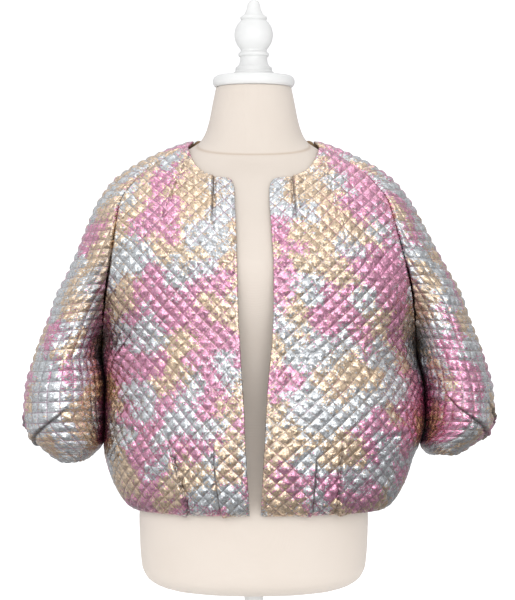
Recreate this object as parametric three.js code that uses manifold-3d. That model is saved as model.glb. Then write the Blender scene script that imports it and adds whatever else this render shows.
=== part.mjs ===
// A cropped, open-front cocoon jacket in quilted metallic brocade, with raglan sleeves, worn by a limbless
// dress form that stands on a counter stand. Millimetres, +Z up, the front faces -Y, and the origin is
// under the middle of the stand's base, on the surface that it stands on.
import * as THREE from "three";
import { mergeVertices } from "three/addons/utils/BufferGeometryUtils.js";
import Module from "manifold-3d";

const wasm = await Module();
wasm.setup();

// Driving dimensions
const CLOTH = 2.6; // wall of the quilted cloth at a stitch line
const PUFF = 2.4; // how far the wadding lifts the middle of a diamond off the stitch lines
const DIAMOND = 15; // half the diagonal of a diamond on the body, along and across the cloth
const SQUARE = DIAMOND * Math.SQRT2; // the same diamonds turned upright, as the sleeves are cut
const SEAM_GAP = 0.44; // between two sewn edges
const SLEEVE_ROWS = 29; // of quilting from the neckline to the cuff
const SIDE_Y = 8; // the side seams lie this far behind the middle
const PRESSED = [15, 60]; // quilting and pleats are pressed flat this near to the underarm point
const ROUNDNESS = 2.2; // exponent of the body's sections: 2 is an ellipse, more is squarer
const SWAY = { by: 8, from: 820, to: 640 }; // below the chest the jacket hangs to its left of the form
const BAG = { by: 8.5, low: 395, high: 560, soft: 55, inside: 256, outside: 335 }; // bags out under the arm
const LIFT = { by: 11, low: 394, high: 470, from: 244, to: 270 }; // how much higher the left cuff hangs
const STAND_HEIGHT = 200; // from the surface to the underside of the form
const SEAT_GAP = 0.3; // between two hard pieces that rest on each other
const EDGE_MARGIN = 0.35; // columns of quilting stay this share of a column off a side edge
const FAR = 1e4; // beyond the end of any row
const WHITE_PAINT = { color: 0xf1f2f0, roughness: 0.35, metalness: 0 };
const BROCADE = { color: 0xc79fae, roughness: 0.35, metalness: 0.75 };

// Body sections: half the width at the side seam, the front and back at the middle, and half the opening.
// Above the underarm the width isn't used, because there the raglan seam sets it.
const BODY = [
  { z: 325, side: 188, front: -126, back: 127, open: 7.7 },
  { z: 332, side: 198, front: -132, back: 134, open: 8 },
  { z: 341, side: 206, front: -137, back: 140, open: 8.4 },
  { z: 355, side: 214, front: -142, back: 146, open: 9.3 },
  { z: 373, side: 222, front: -145, back: 151, open: 10.5 },
  { z: 402, side: 231, front: -148, back: 157, open: 12.2 },
  { z: 430, side: 238, front: -149, back: 160, open: 14 },
  { z: 470, side: 240, front: -148, back: 160, open: 15.6 },
  { z: 510, side: 238, front: -144, back: 157, open: 18 },
  { z: 560, side: 236, front: -139, back: 151, open: 21 },
  { z: 620, side: 236, front: -134, back: 143, open: 23.7 },
  { z: 690, side: 236, front: -129, back: 131, open: 24 },
  { z: 740, side: 236, front: -119, back: 120, open: 23.5 },
  { z: 780, side: 236, front: -102, back: 108, open: 22.5 },
  { z: 819, side: 236, front: -81, back: 90, open: 23 },
  { z: 845, side: 236, front: -66, back: 76, open: 24 },
  { z: 880, side: 236, front: -46, back: 63, open: 24 },
];

// Sleeve sections from the neckline to the cuff, for the wearer's left. Each is an ellipse, seen from the
// front as the line from its seam point to its ridge point. wrap is the angle from the ridge to either seam:
// 180 where the section closes under the arm. depth is half the ellipse along Y, and mid its middle.
const SLEEVE = [
  { ridgeX: 92, ridgeZ: 875, seamX: 99, seamZ: 864, mid: 12, depth: 32, wrap: 60 },
  { ridgeX: 112, ridgeZ: 869, seamX: 114, seamZ: 858, mid: 12, depth: 39, wrap: 62 },
  { ridgeX: 149, ridgeZ: 853, seamX: 141, seamZ: 842, mid: 12, depth: 51, wrap: 66 },
  { ridgeX: 183, ridgeZ: 835, seamX: 164, seamZ: 825, mid: 11, depth: 62, wrap: 71 },
  { ridgeX: 211, ridgeZ: 814, seamX: 180, seamZ: 807, mid: 10, depth: 72, wrap: 76 },
  { ridgeX: 235, ridgeZ: 780, seamX: 197, seamZ: 781, mid: 9, depth: 81, wrap: 84 },
  { ridgeX: 253, ridgeZ: 744, seamX: 205, seamZ: 746, mid: 8, depth: 87, wrap: 92 },
  { ridgeX: 278, ridgeZ: 690, seamX: 216, seamZ: 692, mid: 8, depth: 92, wrap: 106 },
  { ridgeX: 305, ridgeZ: 636, seamX: 226, seamZ: 641, mid: 8, depth: 95, wrap: 126 },
  { ridgeX: 324, ridgeZ: 586, seamX: 232, seamZ: 594, mid: 8, depth: 97, wrap: 150 },
  { ridgeX: 336, ridgeZ: 551, seamX: 236, seamZ: 560, mid: 8, depth: 97, wrap: 180 },
  { ridgeX: 350, ridgeZ: 500, seamX: 249, seamZ: 506, mid: 7, depth: 97, wrap: 180 },
  { ridgeX: 352, ridgeZ: 462, seamX: 252, seamZ: 466, mid: 6, depth: 94, wrap: 180 },
  { ridgeX: 345, ridgeZ: 438, seamX: 252, seamZ: 440, mid: 6, depth: 88, wrap: 180 },
  { ridgeX: 331, ridgeZ: 420, seamX: 250, seamZ: 420, mid: 6, depth: 81, wrap: 180 },
  { ridgeX: 313, ridgeZ: 405, seamX: 253, seamZ: 406, mid: 6, depth: 73, wrap: 180 },
  { ridgeX: 299, ridgeZ: 397, seamX: 259, seamZ: 398, mid: 6, depth: 66, wrap: 180 },
  { ridgeX: 292, ridgeZ: 402, seamX: 264, seamZ: 403, mid: 6, depth: 60, wrap: 180 },
];
const UNDERARM = 10; // the section where the sleeve closes under the arm
const BACK_TOP = 877; // the back neckline stands up behind the neck
const BACK_TOP_HALF = 86;
const BACK_TOP_LEAN = 7; // how far its ends lie behind the top of the raglan seam

// The front neckline as seen from the front, from the rounded corner at the opening up to the raglan seam
const NECKLINE = [
  { x: 0, z: 800 },
  { x: 23, z: 800 },
  { x: 25, z: 808 },
  { x: 32, z: 814 },
  { x: 56, z: 816 },
  { x: 70, z: 821 },
  { x: 82, z: 830 },
  { x: 91, z: 843 },
  { x: 96, z: 854 },
  { x: 99, z: 863 },
  { x: 92, z: 868 },
];

// Pleats and darts: each runs from its sewn end to where it fades, a soft ridge on one side of its line.
// s is measured along the cloth from the middle of the panel, and t is the height.
const FRONT_FOLDS = [
  { s0: 64, t0: 822, s1: 70, t1: 742, depth: 3.4, width: 13, lean: 1 },
  { s0: 122, t0: 826, s1: 158, t1: 712, depth: 2.4, width: 17, lean: 1 },
  { s0: 50, t0: 325, s1: 62, t1: 440, depth: 3.0, width: 13, lean: -1 },
  { s0: 106, t0: 325, s1: 148, t1: 458, depth: 3.4, width: 14, lean: 1 },
];
const BACK_FOLDS = [
  { s0: 46, t0: 878, s1: 52, t1: 790, depth: 3.0, width: 13, lean: 1 },
  { s0: 58, t0: 325, s1: 66, t1: 436, depth: 3.0, width: 13, lean: -1 },
  { s0: 118, t0: 325, s1: 142, t1: 452, depth: 3.4, width: 14, lean: 1 },
];
// On a sleeve s runs from the ridge, negative to the front, and t runs down the ridge from the neckline.
const SLEEVE_FOLDS = [
  { s0: -50, t0: 606, s1: -104, t1: 492, depth: 3.4, width: 13, lean: -1 },
  { s0: -14, t0: 606, s1: -18, t1: 520, depth: 2.6, width: 11, lean: -1 },
  { s0: 58, t0: 606, s1: 98, t1: 500, depth: 3.2, width: 13, lean: 1 },
];

const smoothstep = (from, to, value) => {
  const share = Math.min(1, Math.max(0, (value - from) / (to - from)));
  return share * share * (3 - 2 * share);
};

// Reads a table at any value of one of its columns. Every column runs smoothly through the rows
// and never past its neighbours.
function tableBy(rows, key) {
  const at = rows.map((row, i) => (key ? row[key] : i));
  const slopes = {};
  for (const name of Object.keys(rows[0])) {
    const step = rows.slice(1).map((row, i) => (row[name] - rows[i][name]) / (at[i + 1] - at[i]));
    slopes[name] = rows.map((_, i) => {
      const before = step[Math.max(0, i - 1)];
      const after = step[Math.min(step.length - 1, i)];
      return before * after <= 0 ? 0 : (2 * before * after) / (before + after);
    });
  }
  return (value) => {
    let i = 0;
    while (i < rows.length - 2 && value > at[i + 1]) i++;
    const span = at[i + 1] - at[i];
    const u = Math.min(1, Math.max(0, (value - at[i]) / span));
    const read = {};
    for (const name of Object.keys(rows[0])) {
      read[name] =
        (1 + 2 * u) * (1 - u) ** 2 * rows[i][name] +
        u * (1 - u) ** 2 * span * slopes[name][i] +
        u * u * (3 - 2 * u) * rows[i + 1][name] +
        u * u * (u - 1) * span * slopes[name][i + 1];
    }
    return read;
  };
}

// A line of points that can be read at any length along it, and runs on straight past its ends.
function measured(points, startAt = 0) {
  const along = [-startAt];
  for (let i = 1; i < points.length; i++) along.push(along[i - 1] + points[i].distanceTo(points[i - 1]));
  return {
    from: along[0],
    to: along[along.length - 1],
    at(length) {
      let i = 0;
      while (i < points.length - 2 && length > along[i + 1]) i++;
      return points[i].clone().lerp(points[i + 1], (length - along[i]) / (along[i + 1] - along[i]));
    },
  };
}

const bodyAt = tableBy(BODY, "z");
const sleeveAt = tableBy(SLEEVE, null);

// A sleeve section as points from the front seam over the ridge to the back seam.
const SECTION_POINTS = 64;
function sleeveSection(station) {
  const row = sleeveAt(station);
  const wrap = THREE.MathUtils.degToRad(row.wrap);
  const across = new THREE.Vector3(row.ridgeX - row.seamX, 0, row.ridgeZ - row.seamZ);
  const reach = across.length() / (1 - Math.cos(wrap));
  across.normalize();
  const middle = new THREE.Vector3(row.ridgeX, row.mid, row.ridgeZ).addScaledVector(across, -reach);
  const points = [];
  for (let i = 0; i <= SECTION_POINTS; i++) {
    const angle = wrap * ((2 * i) / SECTION_POINTS - 1);
    const point = middle.clone().addScaledVector(across, reach * Math.cos(angle));
    point.y += row.depth * Math.sin(angle);
    points.push(point);
  }
  return points;
}

// The sleeve as a surface: t runs down its ridge, and s round it from the ridge.
const STATION_STEP = 0.1;
const STATIONS = Math.round((SLEEVE.length - 1) / STATION_STEP);
const ridge = [0];
const frontSeam = [];
const backSeam = [];
for (let i = 0; i <= STATIONS; i++) {
  const section = sleeveSection(i * STATION_STEP);
  const row = sleeveAt(i * STATION_STEP);
  if (i > 0) {
    const last = sleeveAt((i - 1) * STATION_STEP);
    ridge.push(ridge[i - 1] + Math.hypot(row.ridgeX - last.ridgeX, row.ridgeZ - last.ridgeZ));
  }
  if (i * STATION_STEP <= UNDERARM) {
    frontSeam.push(section[0]);
    backSeam.push(section[SECTION_POINTS]);
  }
}
const SLEEVE_LENGTH = ridge[STATIONS];
function stationAt(t) {
  let i = 0;
  while (i < STATIONS - 1 && t > ridge[i + 1]) i++;
  return (i + (t - ridge[i]) / (ridge[i + 1] - ridge[i])) * STATION_STEP;
}
const sleeveRows = new Map();
function sleeveRow(t) {
  const name = t.toFixed(3);
  if (!sleeveRows.has(name)) {
    const points = sleeveSection(stationAt(t));
    let toRidge = 0;
    for (let i = 1; i <= SECTION_POINTS / 2; i++) toRidge += points[i].distanceTo(points[i - 1]);
    sleeveRows.set(name, measured(points, toRidge));
  }
  return sleeveRows.get(name);
}

// Where a body panel's row at height z ends: at the side seam, the raglan seam or, on the back, the neckline.
const underarmZ = frontSeam[frontSeam.length - 1].z;
const neckSeamZ = frontSeam[0].z;
const underarmLength = ridge[frontSeam.length - 1];
const seamHeight = (t) => sleeveAt(stationAt(t)).seamZ;
function seamLength(z) {
  let i = 0;
  while (i < frontSeam.length - 2 && frontSeam[i + 1].z > z) i++;
  const down = (frontSeam[i].z - z) / (frontSeam[i].z - frontSeam[i + 1].z);
  return ridge[i] + (ridge[i + 1] - ridge[i]) * down;
}
function rowEnd(face, z) {
  const seam = face === "front" ? frontSeam : backSeam;
  if (z <= underarmZ) return new THREE.Vector3(bodyAt(z).side, SIDE_Y, z);
  if (z >= neckSeamZ) {
    const up = Math.min(1, (z - neckSeamZ) / (BACK_TOP - neckSeamZ));
    return seam[0].clone().lerp(new THREE.Vector3(BACK_TOP_HALF, seam[0].y + BACK_TOP_LEAN, z), up).setZ(z);
  }
  let i = 0;
  while (seam[i + 1].z > z) i++;
  return seam[i].clone().lerp(seam[i + 1], (seam[i].z - z) / (seam[i].z - seam[i + 1].z));
}

// A body row at height z, from the middle plane out to its end, as part of a rounded section that
// passes through both.
const ROW_POINTS = 56;
const bodyRows = new Map();
function bodyRow(face, z) {
  const name = face + z.toFixed(3);
  if (!bodyRows.has(name)) {
    const end = rowEnd(face, z);
    const depth = bodyAt(z)[face] - SIDE_Y;
    const share = Math.min(0.96, Math.abs((end.y - SIDE_Y) / depth));
    const half = end.x / (1 - share ** ROUNDNESS) ** (1 / ROUNDNESS);
    const last = Math.asin(Math.min(1, (end.x / half) ** (ROUNDNESS / 2)));
    const points = [];
    for (let i = 0; i <= ROW_POINTS; i++) {
      const angle = (last * i) / ROW_POINTS;
      const x = half * Math.sin(angle) ** (2 / ROUNDNESS);
      const y = SIDE_Y + depth * Math.cos(angle) ** (2 / ROUNDNESS);
      points.push(new THREE.Vector3(x, y, z));
    }
    bodyRows.set(name, measured(points));
  }
  return bodyRows.get(name);
}

// Mirrors a point to its own side, and gives the jacket the uneven hang that it has on the form.
function hang(point, side) {
  const out = point.x;
  const { z } = point;
  const below = 1 - smoothstep(BAG.high - BAG.soft, BAG.high, z);
  const bag = smoothstep(BAG.low, BAG.low + BAG.soft, z) * below;
  const sway = SWAY.by * (1 - smoothstep(SWAY.to, SWAY.from, z));
  const shift = sway + BAG.by * bag * (1 - smoothstep(BAG.inside, BAG.outside, out));
  point.x = side * out + shift * smoothstep(0, 200, out);
  const lift = LIFT.by * (1 - smoothstep(LIFT.low, LIFT.high, z)) * smoothstep(LIFT.from, LIFT.to, out);
  if (side > 0) point.z += lift;
  return point;
}

// How far the pleats and darts lift or sink the cloth at a place on it. The sunk side of each is shallower
// and narrower than its ridge by these shares.
const TROUGH = { depth: 0.6, width: 0.45 };
function foldHeight(folds, s, t) {
  let height = 0;
  for (const fold of folds) {
    const along = (t - fold.t0) / (fold.t1 - fold.t0);
    if (along < -0.1 || along > 1) continue;
    const off = (s - fold.s0 - (fold.s1 - fold.s0) * Math.max(0, along)) * fold.lean;
    const fade = 1 - smoothstep(0.45, 1, along);
    const crest = Math.exp(-((off / fold.width) ** 2));
    const trough = -TROUGH.depth * Math.exp(-((off / (TROUGH.width * fold.width)) ** 2));
    height += fold.depth * fade * (off > 0 ? crest : trough);
  }
  return height;
}

// Panels. Each gives the cloth's outer face at (s, t), the ends of its row at t, the heights of its rows,
// where its two side edges run, its pleats, and how the quilting lies on it.
const bodyHeights = (to) => {
  const heights = [];
  for (let z = BODY[0].z; z < to - 0.4 * DIAMOND; z += DIAMOND) heights.push(z);
  return [...heights, to];
};
const sleeveLengths = [];
for (let j = 0; j <= SLEEVE_ROWS; j++) sleeveLengths.push((SLEEVE_LENGTH * j) / SLEEVE_ROWS);

function frontPanel(side) {
  const panel = {
    rows: bodyHeights(neckSeamZ - 1),
    pitch: DIAMOND,
    insideStep: 2,
    upright: false,
    mirrored: side < 0,
    ends: (t) => [bodyAt(t).open, bodyRow("front", t).to],
    point: (s, t) => hang(bodyRow("front", t).at(s), side),
    folds: (s, t) => foldHeight(FRONT_FOLDS, s, t),
  };
  panel.edges = [(t) => freeEdge(panel, bodyAt(t).open, t), (t) => sewnEdge("front", side, t, "body")];
  return panel;
}
const backPanel = {
  rows: bodyHeights(BACK_TOP),
  pitch: DIAMOND,
  insideStep: 2,
  upright: false,
  mirrored: true,
  ends: (t) => [-bodyRow("back", t).to, bodyRow("back", t).to],
  point: (s, t) => hang(bodyRow("back", t).at(Math.abs(s)), s < 0 ? -1 : 1),
  folds: (s, t) => foldHeight(BACK_FOLDS, Math.abs(s), t),
};
backPanel.edges = [-1, 1].map((side) => (t) => {
  if (t > neckSeamZ) return freeEdge(backPanel, side * bodyRow("back", t).to, t);
  return sewnEdge("back", side, t, "body");
});
function sleevePanel(side) {
  const panel = {
    rows: sleeveLengths,
    pitch: SQUARE,
    insideStep: 1,
    upright: true,
    mirrored: side > 0,
    ends: (t) => [sleeveRow(t).from, sleeveRow(t).to],
    point: (s, t) => hang(sleeveRow(t).at(s), side),
    folds: (s, t) => foldHeight(SLEEVE_FOLDS, s, t),
  };
  panel.edges = ["front", "back"].map((face) => (t) => {
    if (t <= underarmLength) return sewnEdge(face, side, seamHeight(t), "sleeve");
    const s = face === "front" ? sleeveRow(t).from + SEAM_GAP / 2 : sleeveRow(t).to - SEAM_GAP / 2;
    return freeEdge(panel, s, t);
  });
  return panel;
}
const fronts = { 1: frontPanel(1), [-1]: frontPanel(-1) };
const sleeves = { 1: sleevePanel(1), [-1]: sleevePanel(-1) };

// The heights where the seams have corners, so that both of the pieces that meet there turn at the same
// points.
const seamHeights = [underarmZ, ...sleeveLengths.filter((t) => t < underarmLength).map(seamHeight)];
const bodyStops = (panel) => {
  const top = panel.rows[panel.rows.length - 1];
  return [...new Set([...panel.rows, ...seamHeights.filter((z) => z < top - 0.5)])].sort((a, b) => a - b);
};
for (const panel of [fronts[1], fronts[-1], backPanel]) panel.stops = bodyStops(panel);
for (const panel of [sleeves[1], sleeves[-1]]) {
  const fromBody = backPanel.rows.filter((z) => z > underarmZ && z < neckSeamZ).map(seamLength);
  panel.stops = [...new Set([...panel.rows, underarmLength, ...fromBody])].sort((a, b) => a - b);
}

// The outward direction of a panel at (s, t).
function outward(panel, s, t) {
  const step = 0.5;
  const low = Math.max(panel.rows[0], t - step);
  const high = Math.min(panel.rows[panel.rows.length - 1], t + step);
  const across = panel.point(s + step, t).sub(panel.point(s - step, t));
  const along = panel.point(s, high).sub(panel.point(s, low));
  return across.cross(along).normalize().multiplyScalar(panel.mirrored ? -1 : 1);
}

// An edge that is sewn to nothing stands square to the cloth.
function freeEdge(panel, s, t) {
  return { point: panel.point(s, t), normal: outward(panel, s, t) };
}

// A sewn edge, at a height on the seam. The two pieces there lie half of the gap either way from the seam
// line. Their edges are parallel where the seam is flat, and square to their own cloth where it folds back
// sharply.
function sewnEdge(face, side, z, piece) {
  const onBody = (on) => {
    const s = bodyRow(on, z).to;
    return on === "front" ? [fronts[side], s, z, -1] : [backPanel, side * s, z, -side];
  };
  const onSleeve = () => {
    const t = seamLength(z);
    const [from, to] = [sleeveRow(t).from, sleeveRow(t).to];
    return face === "front" ? [sleeves[side], from, t, 1] : [sleeves[side], to, t, -1];
  };
  const other = face === "front" ? "back" : "front";
  const pair = [onBody(face), z <= underarmZ && piece === "body" ? onBody(other) : onSleeve()];
  if (piece === "sleeve") pair.reverse();
  const above = z >= underarmZ && !(piece === "body" && z === underarmZ) ? 1 : 0;
  const at = (height) => hang(rowEnd(face, height), side);
  const tangent = at(z + above).sub(at(z + above - 1)).normalize();
  const [own, next] = pair.map(([panel, s, t, towards]) => {
    const normal = outward(panel, s, t);
    const into = panel.point(s + towards, t).sub(panel.point(s, t));
    into.addScaledVector(normal, -into.dot(normal)).addScaledVector(tangent, -into.dot(tangent));
    return { normal, into: into.normalize() };
  });
  const flat = smoothstep(-0.2, 0.6, own.normal.dot(next.normal));
  const apart = own.into.clone().sub(next.into).normalize();
  return {
    point: at(z).addScaledVector(apart, SEAM_GAP / 2),
    normal: own.normal.clone().addScaledVector(next.normal, flat).normalize(),
  };
}

// Joins two chains of points with triangles, by how far along each point lies.
function zip(a, b, faces) {
  let i = 0;
  let j = 0;
  while (i < a.length - 1 || j < b.length - 1) {
    const stepA = j === b.length - 1 || (i < a.length - 1 && a[i + 1].along <= b[j + 1].along);
    if (stepA) faces.push([a[i].id, a[i + 1].id, b[j].id]);
    else faces.push([a[i].id, b[j + 1].id, b[j].id]);
    if (stepA) i++;
    else j++;
  }
}

// One face of a wall: its triangles, and the four chains of points round its edge. lift says how far the
// face stands off the panel's own surface at a place, and base how far it does so at the edges.
function clothFace(panel, points, { pitch, heights, base, lift, quilted }) {
  const faces = [];
  const add = (s, t, distance) => {
    points.push(panel.point(s, t).addScaledVector(outward(panel, s, t), distance));
    return points.length - 1;
  };
  const edges = panel.edges.map((edge) =>
    panel.stops.map((t) => {
      const { point, normal } = edge(t);
      points.push(point.addScaledVector(normal, base));
      return { id: points.length - 1, t };
    }),
  );
  const edgeAt = (which, from, to) => edges[which].filter(({ t }) => t >= from && t <= to);
  const rows = heights.map((t, j) => {
    const [from, to] = panel.ends(t);
    const row = [];
    const last = to / pitch - EDGE_MARGIN;
    for (let column = Math.ceil(from / pitch + EDGE_MARGIN); column <= last; column++) {
      const s = column * pitch;
      const border = j === 0 || j === heights.length - 1;
      const raised = quilted && !panel.upright && !border && (column + j) % 2 === 0;
      row.push({ id: add(s, t, border ? base : lift(s, t, raised)), column, along: s });
    }
    return row;
  });
  for (let j = 0; j < rows.length - 1; j++) {
    const [low, high] = [rows[j], rows[j + 1]];
    const first = Math.max(low[0].column, high[0].column);
    const last = Math.min(low[low.length - 1].column, high[high.length - 1].column);
    const at = (row, column) => row.find((place) => place.column === column);
    const side = (which) => {
      const stops = edgeAt(which, heights[j], heights[j + 1]);
      const beyond = (row) => row.filter(({ column }) => (which === 0 ? column <= first : column >= last));
      const ends = stops.map(({ id }, i) => ({ id, along: which === 0 ? i - FAR : i + FAR }));
      const [lowChain, highChain] = [beyond(low), beyond(high)];
      if (which === 1) return [[...lowChain, ...ends.slice(0, -1)], [...highChain, ends[ends.length - 1]]];
      return [[...ends.slice(0, -1).reverse(), ...lowChain], [ends[ends.length - 1], ...highChain]];
    };
    zip(...side(0), faces);
    for (let column = first; column < last; column++) {
      const [p, q] = [at(low, column).id, at(low, column + 1).id];
      const [o, r] = [at(high, column).id, at(high, column + 1).id];
      if (quilted && panel.upright) {
        const [s, t] = [(column + 0.5) * pitch, (heights[j] + heights[j + 1]) / 2];
        const middle = add(s, t, lift(s, t, true));
        faces.push([p, q, middle], [q, r, middle], [r, o, middle], [o, p, middle]);
      } else if ((column + j) % 2 === 0) faces.push([q, o, p], [q, r, o]);
      else faces.push([p, q, r], [p, r, o]);
    }
    zip(...side(1), faces);
  }
  const hem = (j) => {
    const end = (which) => edgeAt(which, heights[j], heights[j])[0].id;
    return [{ id: end(0), along: -FAR }, ...rows[j], { id: end(1), along: FAR }];
  };
  const sideChain = (which) => edges[which].map(({ id, t }) => ({ id, along: t }));
  return { faces, bottom: hem(0), top: hem(rows.length - 1), left: sideChain(0), right: sideChain(1) };
}

// A closed wall of cloth: the outer face with its quilting and pleats, a plain inner face, and the rim
// between.
function clothWall(panel, { outside = 0, thickness = CLOTH, quilted = true } = {}) {
  const points = [];
  const { rows, pitch, insideStep } = panel;
  const edgeFade = (s, t) => {
    const [from, to] = panel.ends(t);
    const inside = Math.min(s - from, to - s, t - rows[0], rows[rows.length - 1] - t);
    const place = panel.point(s, t);
    place.x = Math.abs(place.x);
    const fromUnderarm = place.distanceTo(new THREE.Vector3(bodyAt(underarmZ).side, SIDE_Y, underarmZ));
    return smoothstep(0, pitch, inside + 0.3 * pitch) * smoothstep(...PRESSED, fromUnderarm);
  };
  const bend = (s, t) => panel.folds(s, t) * edgeFade(s, t);
  const outer = clothFace(panel, points, {
    pitch,
    heights: rows,
    base: outside,
    lift: (s, t, raised) => outside + bend(s, t) + (raised ? PUFF * edgeFade(s, t) : 0),
    quilted,
  });
  const inner = clothFace(panel, points, {
    pitch: pitch * insideStep,
    heights: rows.filter((_, j) => j % insideStep === 0 || j === rows.length - 1),
    base: outside - thickness,
    lift: (s, t) => outside - thickness + Math.min(0, bend(s, t)),
    quilted: false,
  });
  const faces = [...outer.faces, ...inner.faces.map((face) => [...face].reverse())];
  for (const [name, turned] of [
    ["bottom", true],
    ["top", false],
    ["left", false],
    ["right", true],
  ]) {
    const rim = [];
    zip(outer[name], inner[name], rim);
    faces.push(...rim.map((face) => (turned ? face.reverse() : face)));
  }
  return toGeometry(points, panel.mirrored ? faces.map((face) => [...face].reverse()) : faces);
}

function toGeometry(points, faces) {
  const geometry = new THREE.BufferGeometry();
  geometry.setAttribute("position", new THREE.Float32BufferAttribute(points.flatMap((p) => p.toArray()), 3));
  geometry.setIndex(faces.flat());
  return geometry;
}

function toSolid(geometry) {
  const bare = geometry.clone();
  bare.deleteAttribute("normal");
  bare.deleteAttribute("uv");
  const merged = mergeVertices(bare, 1e-4);
  return new wasm.Manifold(
    new wasm.Mesh({
      numProp: 3,
      vertProperties: new Float32Array(merged.attributes.position.array),
      triVerts: new Uint32Array(merged.index.array),
    }),
  );
}

function fromSolid(solid) {
  const mesh = solid.getMesh();
  const geometry = new THREE.BufferGeometry();
  geometry.setAttribute("position", new THREE.BufferAttribute(mesh.vertProperties, 3));
  geometry.setIndex(new THREE.BufferAttribute(mesh.triVerts, 1));
  return geometry;
}

// What is cut away above the front neckline, seen from the front and cut straight through the fronts.
const CUTTER = { half: 92, top: 900, depth: 150 };
function necklineCutter() {
  const outline = new THREE.Shape();
  outline.moveTo(-NECKLINE[0].x, NECKLINE[0].z);
  for (const { x, z } of NECKLINE.slice(1)) outline.lineTo(x, z);
  outline.lineTo(CUTTER.half, CUTTER.top);
  outline.lineTo(-CUTTER.half, CUTTER.top);
  for (const { x, z } of [...NECKLINE].reverse().slice(0, -1)) outline.lineTo(-x, z);
  const cutter = new THREE.ExtrudeGeometry(outline, { depth: CUTTER.depth, bevelEnabled: false });
  return cutter.rotateX(Math.PI / 2);
}

// The dress form: half its width, and its front and back at the middle.
const FORM = [
  { z: 200, side: 100, front: -60, back: 60 },
  { z: 204, side: 124, front: -80, back: 79 },
  { z: 211, side: 145, front: -95, back: 94 },
  { z: 222, side: 160, front: -106, back: 104 },
  { z: 240, side: 168, front: -112, back: 109 },
  { z: 276, side: 171, front: -115, back: 112 },
  { z: 312, side: 172, front: -116, back: 113 },
  { z: 350, side: 167, front: -113, back: 109 },
  { z: 420, side: 146, front: -104, back: 96 },
  { z: 495, side: 121, front: -94, back: 80 },
  { z: 560, side: 126, front: -100, back: 84 },
  { z: 630, side: 140, front: -115, back: 92 },
  { z: 685, side: 148, front: -123, back: 98 },
  { z: 735, side: 161, front: -113, back: 101 },
  { z: 775, side: 178, front: -97, back: 98 },
  { z: 800, side: 184, front: -86.2, back: 93 },
  { z: 817, side: 181, front: -78.3, back: 86.2 },
  { z: 830, side: 165, front: -70.4, back: 80.4 },
  { z: 842, side: 141, front: -63.6, back: 71.4 },
  { z: 853, side: 114, front: -60.6, back: 63.6 },
  { z: 862, side: 97, front: -60, back: 58 },
  { z: 873, side: 81, front: -60, back: 55 },
  { z: 886, side: 73, front: -60, back: 54 },
  { z: 905, side: 67, front: -61, back: 51 },
  { z: 930, side: 62, front: -62, back: 49 },
  { z: 954, side: 57, front: -62, back: 47 },
];
const FORM_SIDES = 36;
function dressForm() {
  const points = [];
  const faces = [];
  for (const { z, side, front, back } of FORM) {
    const middle = Math.min(SIDE_Y / 2, (front + back) / 2 + 4);
    for (let i = 0; i < FORM_SIDES; i++) {
      const angle = (2 * Math.PI * i) / FORM_SIDES;
      const [c, s] = [Math.cos(angle), Math.sin(angle)];
      const depth = s < 0 ? middle - front : back - middle;
      const round = 2 / ROUNDNESS;
      points.push(
        new THREE.Vector3(
          side * Math.sign(c) * Math.abs(c) ** round,
          middle + depth * Math.sign(s) * Math.abs(s) ** round,
          z,
        ),
      );
    }
  }
  const rings = FORM.length;
  for (let j = 0; j < rings - 1; j++) {
    for (let i = 0; i < FORM_SIDES; i++) {
      const next = (i + 1) % FORM_SIDES;
      const [p, q] = [j * FORM_SIDES + i, j * FORM_SIDES + next];
      faces.push([p, q, q + FORM_SIDES], [p, q + FORM_SIDES, p + FORM_SIDES]);
    }
  }
  for (let i = 1; i < FORM_SIDES - 1; i++) {
    const top = (rings - 1) * FORM_SIDES;
    faces.push([0, i + 1, i], [top, top + i, top + i + 1]);
  }
  return toGeometry(points, faces);
}

// A turned piece from its profile: straight stretches as { r, z }, and round ones as arcs about their own
// centre.
function turned(profile, sides) {
  const outline = [];
  for (const step of profile) {
    if (step.radius === undefined) outline.push(new THREE.Vector2(step.r, step.z));
    else {
      for (let i = 0; i <= step.steps; i++) {
        const angle = THREE.MathUtils.degToRad(step.start + ((step.end - step.start) * i) / step.steps);
        const [across, up] = [step.radius * Math.cos(angle), step.radius * Math.sin(angle)];
        outline.push(new THREE.Vector2(step.r + across, step.z + up));
      }
    }
  }
  return new THREE.LatheGeometry(outline, sides).rotateX(Math.PI / 2);
}

const NECK_TOP = FORM[FORM.length - 1].z;
const NECK_Y = -7; // the neck leans forward of the body
const CAP_Z = NECK_TOP + SEAT_GAP;
const CAP_THICK = 17;
const FINIAL_Z = CAP_Z + CAP_THICK + SEAT_GAP;
const BASE_RADIUS = 150;
const BASE_THICK = 16;
const POLE_RADIUS = 14;

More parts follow.
